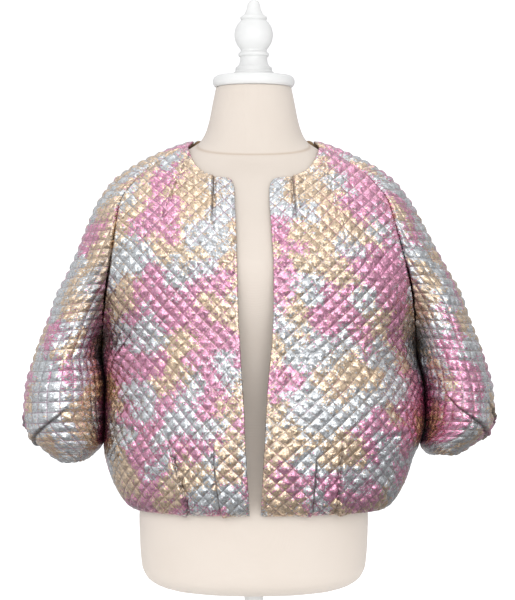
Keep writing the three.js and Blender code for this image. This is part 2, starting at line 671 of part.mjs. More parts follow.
const cap = () =>
  turned(
    [
      { r: 0, z: 0 },
      { r: 57, z: 0 },
      { r: 54, z: 8, radius: 7.5, start: -70, end: 80, steps: 6 },
      { r: 30, z: CAP_THICK },
      { r: 0, z: CAP_THICK },
    ],
    28,
  );
const finial = () =>
  turned(
    [
      { r: 0, z: 0 },
      { r: 30, z: 0 },
      { r: 30, z: 5 },
      { r: 27.5, z: 7 },
      { r: 27, z: 12 },
      { r: 24, z: 14 },
      { r: 20, z: 25 },
      { r: 19.5, z: 31, radius: 3.6, start: -70, end: 70, steps: 4 },
      { r: 0, z: 61, radius: 29, start: -48, end: 50, steps: 8 },
      { r: 17, z: 86, radius: 3.4, start: -60, end: 80, steps: 4 },
      { r: 13, z: 95 },
      { r: 10.5, z: 101 },
      { r: 0, z: 104, radius: 10, start: 0, end: 90, steps: 4 },
    ],
    20,
  );
const pole = () =>
  turned(
    [
      { r: 0, z: 0 },
      { r: POLE_RADIUS + 12, z: 0 },
      { r: POLE_RADIUS + 12, z: 6 },
      { r: POLE_RADIUS, z: 14 },
      { r: POLE_RADIUS, z: STAND_HEIGHT - BASE_THICK - 2 * SEAT_GAP },
      { r: 0, z: STAND_HEIGHT - BASE_THICK - 2 * SEAT_GAP },
    ],
    24,
  );
const base = () =>
  turned(
    [
      { r: 0, z: 0 },
      { r: BASE_RADIUS - 2, z: 0 },
      { r: BASE_RADIUS, z: 2 },
      { r: BASE_RADIUS - 8, z: BASE_THICK - 8, radius: 8, start: 0, end: 90, steps: 3 },
      { r: 0, z: BASE_THICK },
    ],
    36,
  );

// The inside facing of the back neckline, which shows above the form's shoulders.
const FACING = { depth: 14, thickness: 1, inset: 16, clear: 2.5 };
const facingPanel = {
  ...backPanel,
  rows: [BACK_TOP - FACING.depth, BACK_TOP - FACING.depth / 2, BACK_TOP - 1],
  ends: (t) => [-1, 1].map((side) => side * (bodyRow("back", t).to - FACING.inset)),
  pitch: backPanel.pitch * backPanel.insideStep,
  insideStep: 1,
  folds: () => 0,
};
facingPanel.stops = facingPanel.rows;
facingPanel.edges = [0, 1].map((which) => (t) => freeEdge(facingPanel, facingPanel.ends(t)[which], t));

const jacket = new THREE.Group();
const stand = new THREE.Group();
const part = new THREE.Group();
part.add(jacket, stand);

function addPiece(group, name, geometry, finish, position = [0, 0, 0]) {
  const mesh = new THREE.Mesh(geometry, new THREE.MeshStandardMaterial(finish));
  mesh.name = name;
  mesh.position.set(...position);
  group.add(mesh);
}

const cutter = toSolid(necklineCutter());
for (const [name, side] of [
  ["left", 1],
  ["right", -1],
]) {
  const front = toSolid(clothWall(fronts[side])).subtract(cutter);
  addPiece(jacket, `front_${name}`, fromSolid(front), BROCADE);
  addPiece(jacket, `sleeve_${name}`, clothWall(sleeves[side]), BROCADE);
}
addPiece(jacket, "back", clothWall(backPanel), BROCADE);
addPiece(
  jacket,
  "back_neck_facing",
  clothWall(facingPanel, { outside: -CLOTH - FACING.clear, thickness: FACING.thickness, quilted: false }),
  { color: 0xa98a66, roughness: 0.5, metalness: 0.2 },
);

addPiece(stand, "form", dressForm(), { color: 0xefe4d8, roughness: 0.85, metalness: 0 });
addPiece(stand, "neck_cap", cap(), WHITE_PAINT, [0, NECK_Y, CAP_Z]);
addPiece(stand, "finial", finial(), WHITE_PAINT, [0, NECK_Y, FINIAL_Z]);
addPiece(stand, "pole", pole(), WHITE_PAINT, [0, 0, BASE_THICK + SEAT_GAP]);
addPiece(stand, "base", base(), WHITE_PAINT);

export default part;
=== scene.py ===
import math

import bpy
import numpy as np
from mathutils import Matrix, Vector, kdtree


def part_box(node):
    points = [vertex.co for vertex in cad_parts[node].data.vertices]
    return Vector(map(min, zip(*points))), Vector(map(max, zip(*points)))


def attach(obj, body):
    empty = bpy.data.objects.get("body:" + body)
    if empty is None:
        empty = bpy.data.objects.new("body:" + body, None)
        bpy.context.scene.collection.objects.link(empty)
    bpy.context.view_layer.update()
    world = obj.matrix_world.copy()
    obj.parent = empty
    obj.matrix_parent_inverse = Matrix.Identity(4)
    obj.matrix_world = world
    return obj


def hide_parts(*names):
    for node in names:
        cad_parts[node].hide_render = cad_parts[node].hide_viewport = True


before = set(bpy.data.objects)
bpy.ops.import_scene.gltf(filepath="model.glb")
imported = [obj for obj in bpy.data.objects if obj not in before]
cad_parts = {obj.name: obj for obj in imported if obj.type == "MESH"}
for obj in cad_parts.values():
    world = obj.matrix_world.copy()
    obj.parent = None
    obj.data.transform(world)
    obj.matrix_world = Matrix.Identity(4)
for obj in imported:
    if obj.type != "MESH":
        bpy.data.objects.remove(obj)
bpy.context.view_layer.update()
bpy.ops.object.select_all(action="DESELECT")
millimetre = 0.001
print("frame loaded")


# Camera: straight from the front at the height of the chest, from three metres away
view = {"at": (0.0057, -3.0, 0.636), "lens": 120}
bpy.ops.object.camera_add(location=view["at"], rotation=(math.radians(90), 0, 0))
camera = bpy.context.object
camera.name = "camera"
camera.data.lens = view["lens"]
bpy.context.scene.camera = camera


# Small helpers for tables, smooth steps and noise
def table(names, *rows):
    return dict(zip(names.split(), np.array(rows, float).T))


def smooth(low, high, value):
    share = np.clip((value - low) / (high - low), 0, 1)
    return share * share * (3 - 2 * share)


def readColumn(shape, key, name, where):
    # a smooth line through the rows that never runs past its neighbours
    x, y = shape[key], shape[name]
    step = np.diff(y) / np.diff(x)
    before, after = np.append(step[:1], step), np.append(step, step[-1:])
    total = np.where(before * after > 0, before + after, 1)
    slope = np.where(before * after > 0, 2 * before * after / total, 0)
    i = np.clip(np.searchsorted(x, where) - 1, 0, len(x) - 2)
    span = x[i + 1] - x[i]
    u = np.clip((where - x[i]) / span, 0, 1)
    start = (1 + 2 * u) * (1 - u) ** 2 * y[i] + u * (1 - u) ** 2 * span * slope[i]
    return start + u * u * (3 - 2 * u) * y[i + 1] + u * u * (u - 1) * span * slope[i + 1]


def unit(vectors):
    return vectors / np.maximum(np.linalg.norm(vectors, axis=-1, keepdims=True), 1e-9)


def hashed(i, j, seed):
    # an even spread of numbers from 0 to 1, always the same for the same corner
    mixed = (i * 374761393 + j * 668265263 + seed * 974634777) & 0xFFFFFFFF
    mixed = ((mixed ^ (mixed >> 13)) * 1274126177) & 0xFFFFFFFF
    return ((mixed ^ (mixed >> 16)) & 0xFFFF) / 65535


def waves(s, t, size, seed):
    # soft bumps from -1 to 1, about as wide as size
    u, v = s / size, t / size
    i, j = np.floor(u).astype(np.int64), np.floor(v).astype(np.int64)
    a, b = smooth(0, 1, u - i), smooth(0, 1, v - j)
    low = hashed(i, j, seed) * (1 - a) + hashed(i + 1, j, seed) * a
    high = hashed(i, j + 1, seed) * (1 - a) + hashed(i + 1, j + 1, seed) * a
    return 2 * (low * (1 - b) + high * b) - 1


# The jacket's form. Body sections give half the width at the side seam, the front and back at the middle,
# and half the opening. Above the underarm the raglan seam sets the width.
bodyShape = table(
    "z side front back open",
    (325, 188, -126, 127, 7.7),
    (332, 198, -132, 134, 8),
    (341, 206, -137, 140, 8.4),
    (355, 214, -142, 146, 9.3),
    (373, 222, -145, 151, 10.5),
    (402, 231, -148, 157, 12.2),
    (430, 238, -149, 160, 14),
    (470, 240, -148, 160, 15.6),
    (510, 238, -144, 157, 18),
    (560, 236, -139, 151, 21),
    (620, 236, -134, 143, 23.7),
    (690, 236, -129, 131, 24),
    (740, 236, -119, 120, 23.5),
    (780, 236, -102, 108, 22.5),
    (819, 236, -81, 90, 23),
    (845, 236, -66, 76, 24),
    (880, 236, -46, 63, 24),
)

# Sleeve sections from the neckline to the cuff. Each is part of an ellipse, seen from the front as the line
# from its seam to its ridge. Wrap is the angle from the ridge to either seam, and 180 once the sleeve closes
# under the arm.
sleeveShape = table(
    "row ridgeX ridgeZ seamX seamZ mid depth wrap",
    (0, 92, 875, 99, 864, 12, 32, 60),
    (1, 112, 869, 114, 858, 12, 39, 62),
    (2, 149, 853, 141, 842, 12, 51, 66),
    (3, 183, 835, 164, 825, 11, 62, 71),
    (4, 211, 814, 180, 807, 10, 72, 76),
    (5, 235, 780, 197, 781, 9, 81, 84),
    (6, 253, 744, 205, 746, 8, 87, 92),
    (7, 278, 690, 216, 692, 8, 92, 106),
    (8, 305, 636, 226, 641, 8, 95, 126),
    (9, 324, 586, 232, 594, 8, 97, 150),
    (10, 336, 551, 236, 560, 8, 97, 180),
    (11, 350, 500, 249, 506, 7, 97, 180),
    (12, 352, 462, 252, 466, 6, 94, 180),
    (13, 345, 438, 252, 440, 6, 88, 180),
    (14, 331, 420, 250, 420, 6, 81, 180),
    (15, 313, 405, 253, 406, 6, 73, 180),
    (16, 299, 397, 259, 398, 6, 66, 180),
    (17, 292, 402, 264, 403, 6, 60, 180),
)
underarmRow = 10
leanRow = 14  # the sleeves lean in from the underarm row down to this one
cuffRow = 17
finePerRow = 10  # steps that the table is read in, between one row and the next

# The front neckline, seen from the front, from the rounded corner at the opening up to the raglan seam
neckShape = table(
    "z x",
    (800, 23),
    (808, 25),
    (813.5, 32),
    (816, 56),
    (821, 70),
    (830, 82),
    (843, 91),
    (854, 96),
    (864, 99),
)

# The two front edges don't hang alike: how much further out than the tables each one is
openEdges = {
    1: table(
        "z out",
        (317, 4), (350, 3.6), (438, 3), (504, 3), (590, 5.5), (684, 5.5), (743, 3), (801, 1.5), (830, 1.5),
    ),
    -1: table(
        "z out",
        (317, -1), (560, -1), (640, 0), (700, 1.5), (748, 3.5), (774, 5.5), (802, 6.5), (830, 6.5),
    ),
}
openEdgesEnd = (808, 820)  # between these heights they come back to the neckline

jacket = {
    "sideY": 8,  # the side seams lie this far behind the middle
    "roundness": 2.2,  # of the body's sections: 2 is an ellipse, more is squarer
    "seamDepth": 0.96,  # no seam lies nearer to the front or back than this share of the section's depth
    "backTop": (86, 7, 877),  # half the back neckline, how far behind the seam it ends, and its height
    "sway": (8, 820, 640),  # it hangs to its left of the form by this much, from and to these heights
    "bag": (8.5, 395, 450, 505, 560, 256, 335),  # and bags out under the arm at these heights and widths
    "spread": (0, 200),  # both grow between these widths
    "lift": (11, 394, 470, 244, 270),  # how much higher the left cuff hangs, at these heights and widths
    "lean": (12.0, 1.4, 392, 425, 262, 335),  # the sleeves lean in by up to this, to this far from the body
    "wall": 2.6,
    "cuffWall": (0.5, 40, 20),  # what is left of the wall at the cuff, from and to this far from it
    "lines": 15.0,  # between two lines of quilting
    "puff": 2.7,  # how far the wadding stands up between the lines
    "crumple": 0.9,  # how high the creases of the foil are on the puffs
    "slip": (3.6, 58, 2, 32),  # how far the lines wander, over what length, and how far from an edge
    "slack": (1.3, 46, 25),  # soft waves of the cloth: how high and wide, and full this far from an edge
    "creaseFrom": 14,  # creases are full this far from an edge
    "calm": (0.42, 10, 66),  # what is left of the puffs at the body's sides, and where they grow from and to
    "calmTop": (640, 770),  # between these heights they grow to full at the sides too
    "cuffCalm": (0.6, 510, 590),  # what is left of the sleeves' puffs at the cuff, and from and to where
    "touching": (0.75, 60, 10, 46),  # sleeves flatten at the body: how much, over what length, how near
    "plain": (0.2, 4.5),  # the quilting flattens this near to an edge
    "seamDip": 1.2,  # how deep a seam draws the cloth in, and how wide
    "seamWide": 1.8,
    "welt": (0.8, 3.4, 1.5),  # how high the cloth stands beside a seam, how far from it, and how wide
    "pressed": (8, 45),  # the quilting flattens this near to the underarm point
    "neckRise": (0.8, 95),  # how much the seams stand up behind the neck, and how far down the ridge
    "neckCalm": (0.5, 20, 80),  # what is left of the sleeves' puffs at the neck, and from and to where
    "seamGap": 0.25,  # from a seam to each of its edges
    "seamTurn": (-0.2, 0.6),  # panels share their normals at a seam, less where it turns sharply
    "rimRound": 1.3,  # how far a turned edge rounds out
    "rimRings": 3,  # rows of points round it
    "insideEvery": 6,  # the plain inside has a row and a column for each of so many outside
}
denseColumns = 260  # points that half a row of a surface is read in


def leanIn(x, z):
    # how far a sleeve below the armhole leans in, so that it all but touches the body
    leanBy, clear, low, lowEnd, inner, outside = jacket["lean"]
    bodySide = readColumn(bodyShape, "z", "side", z)
    closed = slice(leanRow * finePerRow, underarmRow * finePerRow - 1, -1)
    seamX = np.interp(z, sleeveRow["seamZ"][closed], sleeveRow["seamX"][closed])
    gap = np.maximum(0.1, seamX - bodySide)
    near = smooth(0, 1, (x - bodySide) / gap) * (1 - smooth(inner, outside, x))
    return np.clip(gap - clear, 0, leanBy) * near * smooth(low, lowEnd, z)


def hang(points, side):
    # mirrors points to their own side and gives them the uneven hang of the jacket on the form
    x, y, z = points[..., 0], points[..., 1], points[..., 2]
    swayBy, swayFrom, swayTo = jacket["sway"]
    bagBy, low, lowEnd, highEnd, high, inside, outside = jacket["bag"]
    liftBy, liftLow, liftHigh, liftFrom, liftTo = jacket["lift"]
    bag = smooth(low, lowEnd, z) * (1 - smooth(highEnd, high, z)) * (1 - smooth(inside, outside, x))
    shift = swayBy * (1 - smooth(swayTo, swayFrom, z)) + bagBy * bag
    rise = liftBy * (1 - smooth(liftLow, liftHigh, z)) * smooth(liftFrom, liftTo, x) * (side > 0)
    return np.stack([side * (x - leanIn(x, z)) + shift * smooth(*jacket["spread"], x), y, z + rise], axis=-1)


def evenly(points):
    # each row of points again, evenly spaced along its line, and how long each row is
    steps = np.linalg.norm(np.diff(points, axis=1), axis=2)
    along = np.concatenate([np.zeros((len(points), 1)), np.cumsum(steps, axis=1)], axis=1)
    rows = []
    for line, at in zip(points, along):
        even = np.linspace(0, at[-1], denseColumns)
        rows.append(np.stack([np.interp(even, at, line[:, k]) for k in range(3)], axis=1))
    return np.array(rows), along


# Sleeve rows: t runs down the ridge, and s round the sleeve from the ridge, negative to the front
fineRows = np.linspace(0, cuffRow, cuffRow * finePerRow + 1)
sleeveRow = {name: readColumn(sleeveShape, "row", name, fineRows) for name in sleeveShape}
ridgeSteps = np.hypot(np.diff(sleeveRow["ridgeX"]), np.diff(sleeveRow["ridgeZ"]))
ridgeLength = np.append(0, np.cumsum(ridgeSteps))
sleeveLength = ridgeLength[-1]
underarmLength = ridgeLength[underarmRow * finePerRow]


def sleeveSections(t):
    at = np.interp(t, ridgeLength, fineRows)
    row = {name: readColumn(sleeveShape, "row", name, at) for name in sleeveShape}
    wrap = np.radians(row["wrap"])
    acrossX, acrossZ = row["ridgeX"] - row["seamX"], row["ridgeZ"] - row["seamZ"]
    size = np.hypot(acrossX, acrossZ)
    angle = wrap[:, None] * np.linspace(-1, 1, 2 * denseColumns + 1)
    back = (size / (1 - np.cos(wrap)))[:, None] * (np.cos(angle) - 1)
    riseBy, riseTo = jacket["neckRise"]
    back = back * np.where(angle > 0, 1 - riseBy * (1 - smooth(0, riseTo, t))[:, None], 1)
    x = row["ridgeX"][:, None] + (acrossX / size)[:, None] * back
    z = row["ridgeZ"][:, None] + (acrossZ / size)[:, None] * back
    y = row["mid"][:, None] + row["depth"][:, None] * np.sin(angle)
    return np.stack([x, y, z], axis=-1)


rowEvery = 1.0  # mm between the rows that the surfaces are read from
sleeveT = np.arange(0, sleeveLength + rowEvery, rowEvery).clip(0, sleeveLength)
sections = sleeveSections(sleeveT)
sleevePoints, sleeveAlong = evenly(sections)
sleeveSurface = {
    "t": sleeveT,
    "points": sleevePoints,
    "from": -sleeveAlong[:, denseColumns],
    "to": sleeveAlong[:, -1] - sleeveAlong[:, denseColumns],
}
seamRows = sleeveT <= underarmLength
seams = {"front": sections[seamRows, 0], "back": sections[seamRows, -1]}  # from the neck down
seamT = sleeveT[seamRows]
seamZ = {face: seams[face][:, 2] for face in seams}
underarmZ = seamZ["front"][-1]
neckSeamZ = {face: seamZ[face][0] for face in seams}


def bodySurface(face, top):
    # half of the body's front or back, from the middle out to its seams
    z = np.append(np.arange(bodyShape["z"][0], top, rowEvery), top)
    seam = seams[face]
    half, leanBack, backTop = jacket["backTop"]
    heights = seam[::-1, 2]
    below = z <= underarmZ
    endX = np.where(below, readColumn(bodyShape, "z", "side", z), np.interp(z, heights, seam[::-1, 0]))
    endY = np.where(below, jacket["sideY"], np.interp(z, heights, seam[::-1, 1]))
    above = np.clip((z - heights[-1]) / (backTop - heights[-1]), 0, 1)
    endX = endX + (half - endX) * above
    endY = endY + leanBack * above
    n = jacket["roundness"]
    depth = readColumn(bodyShape, "z", face, z) - jacket["sideY"]
    share = np.minimum(jacket["seamDepth"], np.abs((endY - jacket["sideY"]) / depth))
    wide = endX / (1 - share**n) ** (1 / n)
    last = np.arcsin(np.minimum(1, (endX / wide) ** (n / 2)))
    angle = last[:, None] * np.linspace(0, 1, 2 * denseColumns)
    x = wide[:, None] * np.sin(angle) ** (2 / n)
    y = jacket["sideY"] + depth[:, None] * np.cos(angle).clip(0) ** (2 / n)
    points, along = evenly(np.stack([x, y, np.broadcast_to(z[:, None], x.shape)], axis=-1))
    down = np.append(0, np.cumsum(np.hypot(np.diff(z), np.diff(depth))))
    return {"t": z, "points": points, "from": 0 * z, "to": along[:, -1], "length": down}


def pointAt(panel, s, t):
    surface = panel["surface"]
    side = panel["side"] if panel["side"] else np.where(s < 0, -1, 1)
    along = s if panel["side"] else np.abs(s)
    rows = surface["t"]
    j = np.clip(np.searchsorted(rows, t) - 1, 0, len(rows) - 2)
    v = (t - rows[j]) / (rows[j + 1] - rows[j])
    start = surface["from"][j] * (1 - v) + surface["from"][j + 1] * v
    end = surface["to"][j] * (1 - v) + surface["to"][j + 1] * v
    u = (along - start) / (end - start) * (denseColumns - 1)
    i = np.clip(np.floor(u).astype(int), 0, denseColumns - 2)
    u, v = (u - i)[:, None], v[:, None]
    low = surface["points"][j, i] * (1 - u) + surface["points"][j, i + 1] * u
    high = surface["points"][j + 1, i] * (1 - u) + surface["points"][j + 1, i + 1] * u
    return hang(low * (1 - v) + high * v, side)


def outward(panel, s, t):
    step = 0.6  # mm to each side
    low, high = panel["surface"]["t"][0], panel["surface"]["t"][-1]
    across = pointAt(panel, s + step, t) - pointAt(panel, s - step, t)
    along = pointAt(panel, s, np.minimum(t + step, high)) - pointAt(panel, s, np.maximum(t - step, low))
    return unit(np.cross(across, along)) * (-1 if panel["mirrored"] else 1)


# Pleats and darts run from their sewn end to where they fade: a full ridge on one side of a line, a narrow
# fold under it on the other. Creases are soft: a middle, a turn from level, and how long, wide and deep.
foldForm = {
    "ridge": (-2.2, 0.6),  # the ridge rises between these distances from the line
    "under": (2.0, 2.4),  # how far behind the line the fold's middle is, and how wide it is
    "shade": (1.4, 1.3),  # the same for the shade in it
    "begins": (-0.15, -0.03),  # shares of the length where a pleat begins
    "fades": (0.6, 1),  # and where it fades
}
creaseForm = {
    "fades": (0.25, 1),  # shares of the length where a crease fades
    "bulge": (0.55, 1.7),  # beside it the cloth bulges by this share of its depth, so many widths away
}


def hump(off, wide):
    # 1 on a line, and about 0 from two widths away
    return np.exp(-((off / wide) ** 2))


def foldLift(folds, s, t):
    # how far the cloth stands up at its pleats and darts, and how dark the painted shade in the fold under
    # each of them is
    lift, dark = np.zeros_like(s), np.zeros_like(s)
    foldAt, foldWide = foldForm["under"]
    shadeAt, shadeWide = foldForm["shade"]
    for fold in folds:
        across, length = fold["s1"] - fold["s0"], fold["t1"] - fold["t0"]
        along = (t - fold["t0"]) / length
        bow = fold.get("bow", 0)
        bent = along + bow * along * (along - 1)
        slope = (1 + bow * (2 * np.clip(along, 0, 1) - 1)) * across / length
        middle = fold["s0"] + across * np.maximum(0, bent)
        off = (s - middle) * fold["lean"] / np.hypot(1, slope)
        ridge = smooth(*foldForm["ridge"], off) * hump(np.maximum(0, off), fold["wide"])
        fade = (1 - smooth(*foldForm["fades"], along)) * smooth(*foldForm["begins"], along)
        lift += fade * (fold["high"] * ridge - fold["deep"] * hump(off + foldAt, foldWide))
        dark = np.maximum(dark, fold["ink"] * fade * hump(off + shadeAt, shadeWide))
    return lift, dark


def creaseLift(creases, s, t):
    lift = np.zeros_like(s)
    bulge, beside = creaseForm["bulge"]
    for crease in creases:
        turn, wide = math.radians(crease["turn"]), crease["wide"]
        along = (s - crease["s"]) * math.cos(turn) + (t - crease["t"]) * math.sin(turn)
        off = (t - crease["t"]) * math.cos(turn) - (s - crease["s"]) * math.sin(turn)
        bend = off - crease["bow"] * (along / crease["long"]) ** 2
        reach = 1 - smooth(*creaseForm["fades"], np.abs(along) / crease["long"])
        lift -= crease["deep"] * reach * hump(bend, wide)
        lift += bulge * crease["deep"] * reach * hump(bend - beside * wide, wide)
    return lift


def rowsOf(names, *rows):
    return [dict(zip(names.split(), row)) for row in rows]


# after a fold's height and depth comes how dark the painted shade in the fold under it is
foldNames = "s0 t0 s1 t1 high deep ink wide lean bow"
creaseNames = "s t turn long wide deep bow"
leftFront = {
    "folds": rowsOf(
        foldNames,
        (58, 822, 63, 742, 3.8, 1.8, 0.86, 11, 1),
        (104, 838, 141, 700, 2.4, 0.7, 0.25, 16, 1),
        (81, 325, 88, 424, 3.8, 1.8, 0.79, 12, -1),
        (121, 325, 124, 452, 4.2, 1.8, 0.86, 13, 1),
    ),
    "creases": rowsOf(
        creaseNames,
        (214, 470, -14, 62, 7, 2.6, 3),
        (206, 436, 8, 48, 6, 2.2, -3),
        (196, 545, -30, 70, 8, 2.2, 4),
        (120, 600, -62, 90, 10, 1.6, 5),
        (176, 372, 20, 44, 6, 2.0, 2),
        (60, 560, 80, 80, 10, 1.3, 4),
    ),
}
rightFront = {
    "folds": rowsOf(
        foldNames,
        (59, 822, 62, 738, 4.0, 1.8, 0.90, 12, 1),
        (98, 846, 152, 716, 2.6, 0.7, 0.25, 17, 1),
        (46, 325, 59, 444, 4.2, 1.8, 0.86, 12, -1, -0.8),
        (101, 325, 152, 458, 4.4, 1.8, 0.90, 13, 1, 0.6),
    ),
    "creases": rowsOf(
        creaseNames,
        (212, 486, -10, 66, 7, 2.4, 2),
        (222, 448, 6, 44, 6, 2.6, -2),
        (188, 560, -34, 76, 8, 2.0, -4),
        (112, 640, -66, 96, 10, 1.5, 5),
        (168, 384, 26, 40, 6, 2.0, 3),
        (84, 500, 72, 70, 9, 1.4, -3),
    ),
}
backPanelLook = {
    "folds": rowsOf(
        foldNames,
        (46, 878, 51, 796, 3.2, 1.8, 0.90, 12, 1),
        (-49, 878, -56, 788, 3.4, 1.8, 0.90, 13, -1),
        (58, 325, 66, 430, 3.2, 1.8, 0.90, 12, -1),
        (-54, 325, -61, 420, 3.4, 1.8, 0.90, 13, 1),
        (118, 325, 142, 452, 3.6, 1.8, 0.90, 14, 1),
        (-114, 325, -137, 440, 3.4, 1.8, 0.90, 13, -1),
    ),
    "creases": rowsOf(
        creaseNames,
        (-216, 478, 12, 60, 7, 2.4, 2),
        (210, 462, -12, 64, 7, 2.6, -2),
        (204, 540, -32, 70, 8, 2.2, 3),
        (-198, 556, 30, 74, 8, 2.0, -3),
        (-120, 640, 64, 90, 10, 1.5, 4),
        (128, 620, -60, 84, 10, 1.6, -4),
        (10, 520, 4, 90, 12, 1.3, 6),
        (-30, 720, -6, 84, 12, 1.4, 5),
    ),
}
leftSleeve = {
    "folds": rowsOf(
        foldNames,
        (0, 566, -160, 452, 4.4, 1.8, 0.90, 14, 1, -0.9),
        (10, 548, -76, 484, 3.0, 1.8, 0.79, 8, 1, -0.4),
        (24, 606, 34, 520, 2.8, 1.8, 0.90, 11, 1),
        (62, 612, 128, 496, 4.0, 1.8, 0.86, 13, -1),
    ),
    "creases": rowsOf(
        creaseNames,
        (-96, 300, -58, 84, 11, 2.4, 6),
        (-128, 420, -42, 66, 9, 2.4, 4),
        (-60, 200, -70, 70, 11, 1.8, -4),
        (30, 340, 74, 90, 12, 1.5, 5),
        (110, 330, 54, 80, 11, 2.2, -5),
        (140, 440, 36, 60, 9, 2.4, 4),
    ),
}
rightSleeve = {
    "folds": rowsOf(
        foldNames,
        (-22, 561, -128, 494, 3.9, 1.8, 0.90, 13, 1, -0.9),
        (12, 552, -52, 508, 2.6, 1.4, 0.50, 8, 1, -0.4),
        (28, 606, 38, 528, 2.8, 1.8, 0.90, 11, 1),
        (60, 612, 122, 500, 4.0, 1.8, 0.86, 13, -1),
    ),
    "creases": rowsOf(
        creaseNames,
        (-92, 280, -64, 96, 11, 2.8, 5),
        (-118, 410, -48, 70, 9, 2.4, -4),
        (-66, 170, -72, 64, 11, 1.8, 4),
        (36, 360, 70, 84, 12, 1.5, -5),
        (104, 310, 58, 84, 11, 2.2, 5),
        (132, 450, 40, 58, 9, 2.4, -4),
    ),
}


# Panels: each knows its kind, its side, its surface, its grid squares between two lines, and its folds
def frontStart(side, t):
    # where a front's row begins: at the opening, or higher up at the neckline
    atNeck = readColumn(neckShape, "z", "x", t)
    start = np.where(t <= neckShape["z"][0], readColumn(bodyShape, "z", "open", t), atNeck)
    shape = openEdges[side]
    return start + readColumn(shape, "z", "out", t) * (1 - smooth(*openEdgesEnd, t))


def startAlong(surface, side, t):
    # the start of a front's row as a length along it
    x = frontStart(side, t)
    found = []
    for height, wanted in zip(t, x):
        j = int(np.clip(np.searchsorted(surface["t"], height), 0, len(surface["t"]) - 1))
        line = surface["points"][j]
        found.append(np.interp(wanted, line[:, 0], np.linspace(0, surface["to"][j], denseColumns)))
    return np.array(found)


def readEnds(panel, t):
    surface = panel["surface"]
    end = np.interp(t, surface["t"], surface["to"])
    if panel["kind"] == "front":
        return np.interp(t, panel["startT"], panel["start"]), end - jacket["seamGap"]
    if panel["kind"] == "back":
        gap = np.where(t < neckSeamZ["back"], jacket["seamGap"], 0)
        return gap - end, end - gap
    if panel["kind"] == "facing":
        return panel["inset"] - end, end - panel["inset"]
    return np.interp(t, surface["t"], surface["from"]) + jacket["seamGap"], end - jacket["seamGap"]


def sewnAt(panel, which, t):
    # how much each place along a side edge is sewn: 1 on a seam, 0 on a free edge
    if panel["kind"] == "facing" or (panel["kind"] == "front" and which == 0):
        return 0 * t
    if panel["kind"] == "back":
        return 1 - smooth(neckSeamZ["back"] - 2, neckSeamZ["back"] + 1, t)
    return 0 * t + 1


def neighbours(panel, which, t):
    # the panels that are sewn to this edge: for each, at which of the places, and where on the other panel
    side = panel["side"] if panel["side"] else (-1 if which == 0 else 1)
    if panel["kind"] == "sleeve":
        face, end = ("front", 0) if which == 0 else ("back", 1)
        upper = t <= underarmLength
        z = np.interp(t, seamT, seamZ[face])
        body = fronts[side] if face == "front" else back
        s = np.interp(z, body["surface"]["t"], body["surface"]["to"])
        yield body, upper, (s if face == "front" else s * side), z
        yield panel, ~upper, readEnds(panel, t)[1 - end], t
        return
    if (panel["kind"] == "front" and which == 0) or panel["kind"] == "facing":
        return
    other = back if panel["kind"] == "front" else fronts[side]
    low = t < underarmZ
    s = np.interp(t, other["surface"]["t"], other["surface"]["to"])
    yield other, low, (s * side if panel["kind"] == "front" else s), t
    sleeveAt = np.interp(t, seamZ[panel["kind"]][::-1], seamT[::-1])
    ends = readEnds(sleeves[side], sleeveAt)
    upper = ~low & (t < neckSeamZ[panel["kind"]])
    yield sleeves[side], upper, ends[0 if panel["kind"] == "front" else 1], sleeveAt


def edgeNormals(panel, which, s, t):
    own = outward(panel, s, t)
    total = own.copy()
    for other, there, otherS, otherT in neighbours(panel, which, t):
        if there.any():
            near = outward(other, otherS[there], otherT[there])
            flat = smooth(*jacket["seamTurn"], (own[there] * near).sum(axis=1))
            total[there] += near * flat[:, None]
    return unit(total)


frontSurface = bodySurface("front", neckSeamZ["front"] - 1)
backSurface = bodySurface("back", jacket["backTop"][2])


def makeFront(side, look):
    panel = {"kind": "front", "side": side, "mirrored": side < 0, "surface": frontSurface, "grid": 12}
    panel.update(look)
    panel["startT"] = np.sort(np.concatenate([frontSurface["t"], neckShape["z"][:-1]]))
    panel["start"] = startAlong(frontSurface, side, panel["startT"])
    return panel


fronts = {1: makeFront(1, leftFront), -1: makeFront(-1, rightFront)}
back = {"kind": "back", "side": 0, "mirrored": True, "surface": backSurface, "grid": 10, **backPanelLook}
sleeves = {
    side: {"kind": "sleeve", "side": side, "mirrored": side > 0, "surface": sleeveSurface, "grid": 8, **look}
    for side, look in ((1, leftSleeve), (-1, rightSleeve))
}
print("surfaces ready")


def clothLength(panel, t):
    # how far along the cloth a place is: down a sleeve, or up the body
    if panel["kind"] == "sleeve":
        return t
    return np.interp(t, panel["surface"]["t"], panel["surface"]["length"])


def gridOf(panel):
    # the size of a grid square, and the heights of its rows; the grid runs along the lines of stitching
    isSleeve = panel["kind"] == "sleeve"
    step = jacket["lines"] / panel["grid"] if isSleeve else jacket["lines"] * math.sqrt(2) / panel["grid"]
    length = sleeveLength if isSleeve else panel["surface"]["length"][-1]
    lengths = step * np.arange(int(length / step) + 1)
    if length - lengths[-1] > 0.4 * step:
        lengths = np.append(lengths, length)
    lengths[-1] = length
    if not isSleeve:
        lengths = np.interp(lengths, panel["surface"]["length"], panel["surface"]["t"])
    return step, lengths


def zipChains(low, high, faces):
    # joins two chains of (id, along) with triangles
    i = j = 0
    while i < len(low) - 1 or j < len(high) - 1:
        if j == len(high) - 1 or (i < len(low) - 1 and low[i + 1][1] <= high[j + 1][1]):
            faces.append((low[i][0], low[i + 1][0], high[j][0]))
            i += 1
        else:
            faces.append((low[i][0], high[j + 1][0], high[j][0]))
            j += 1


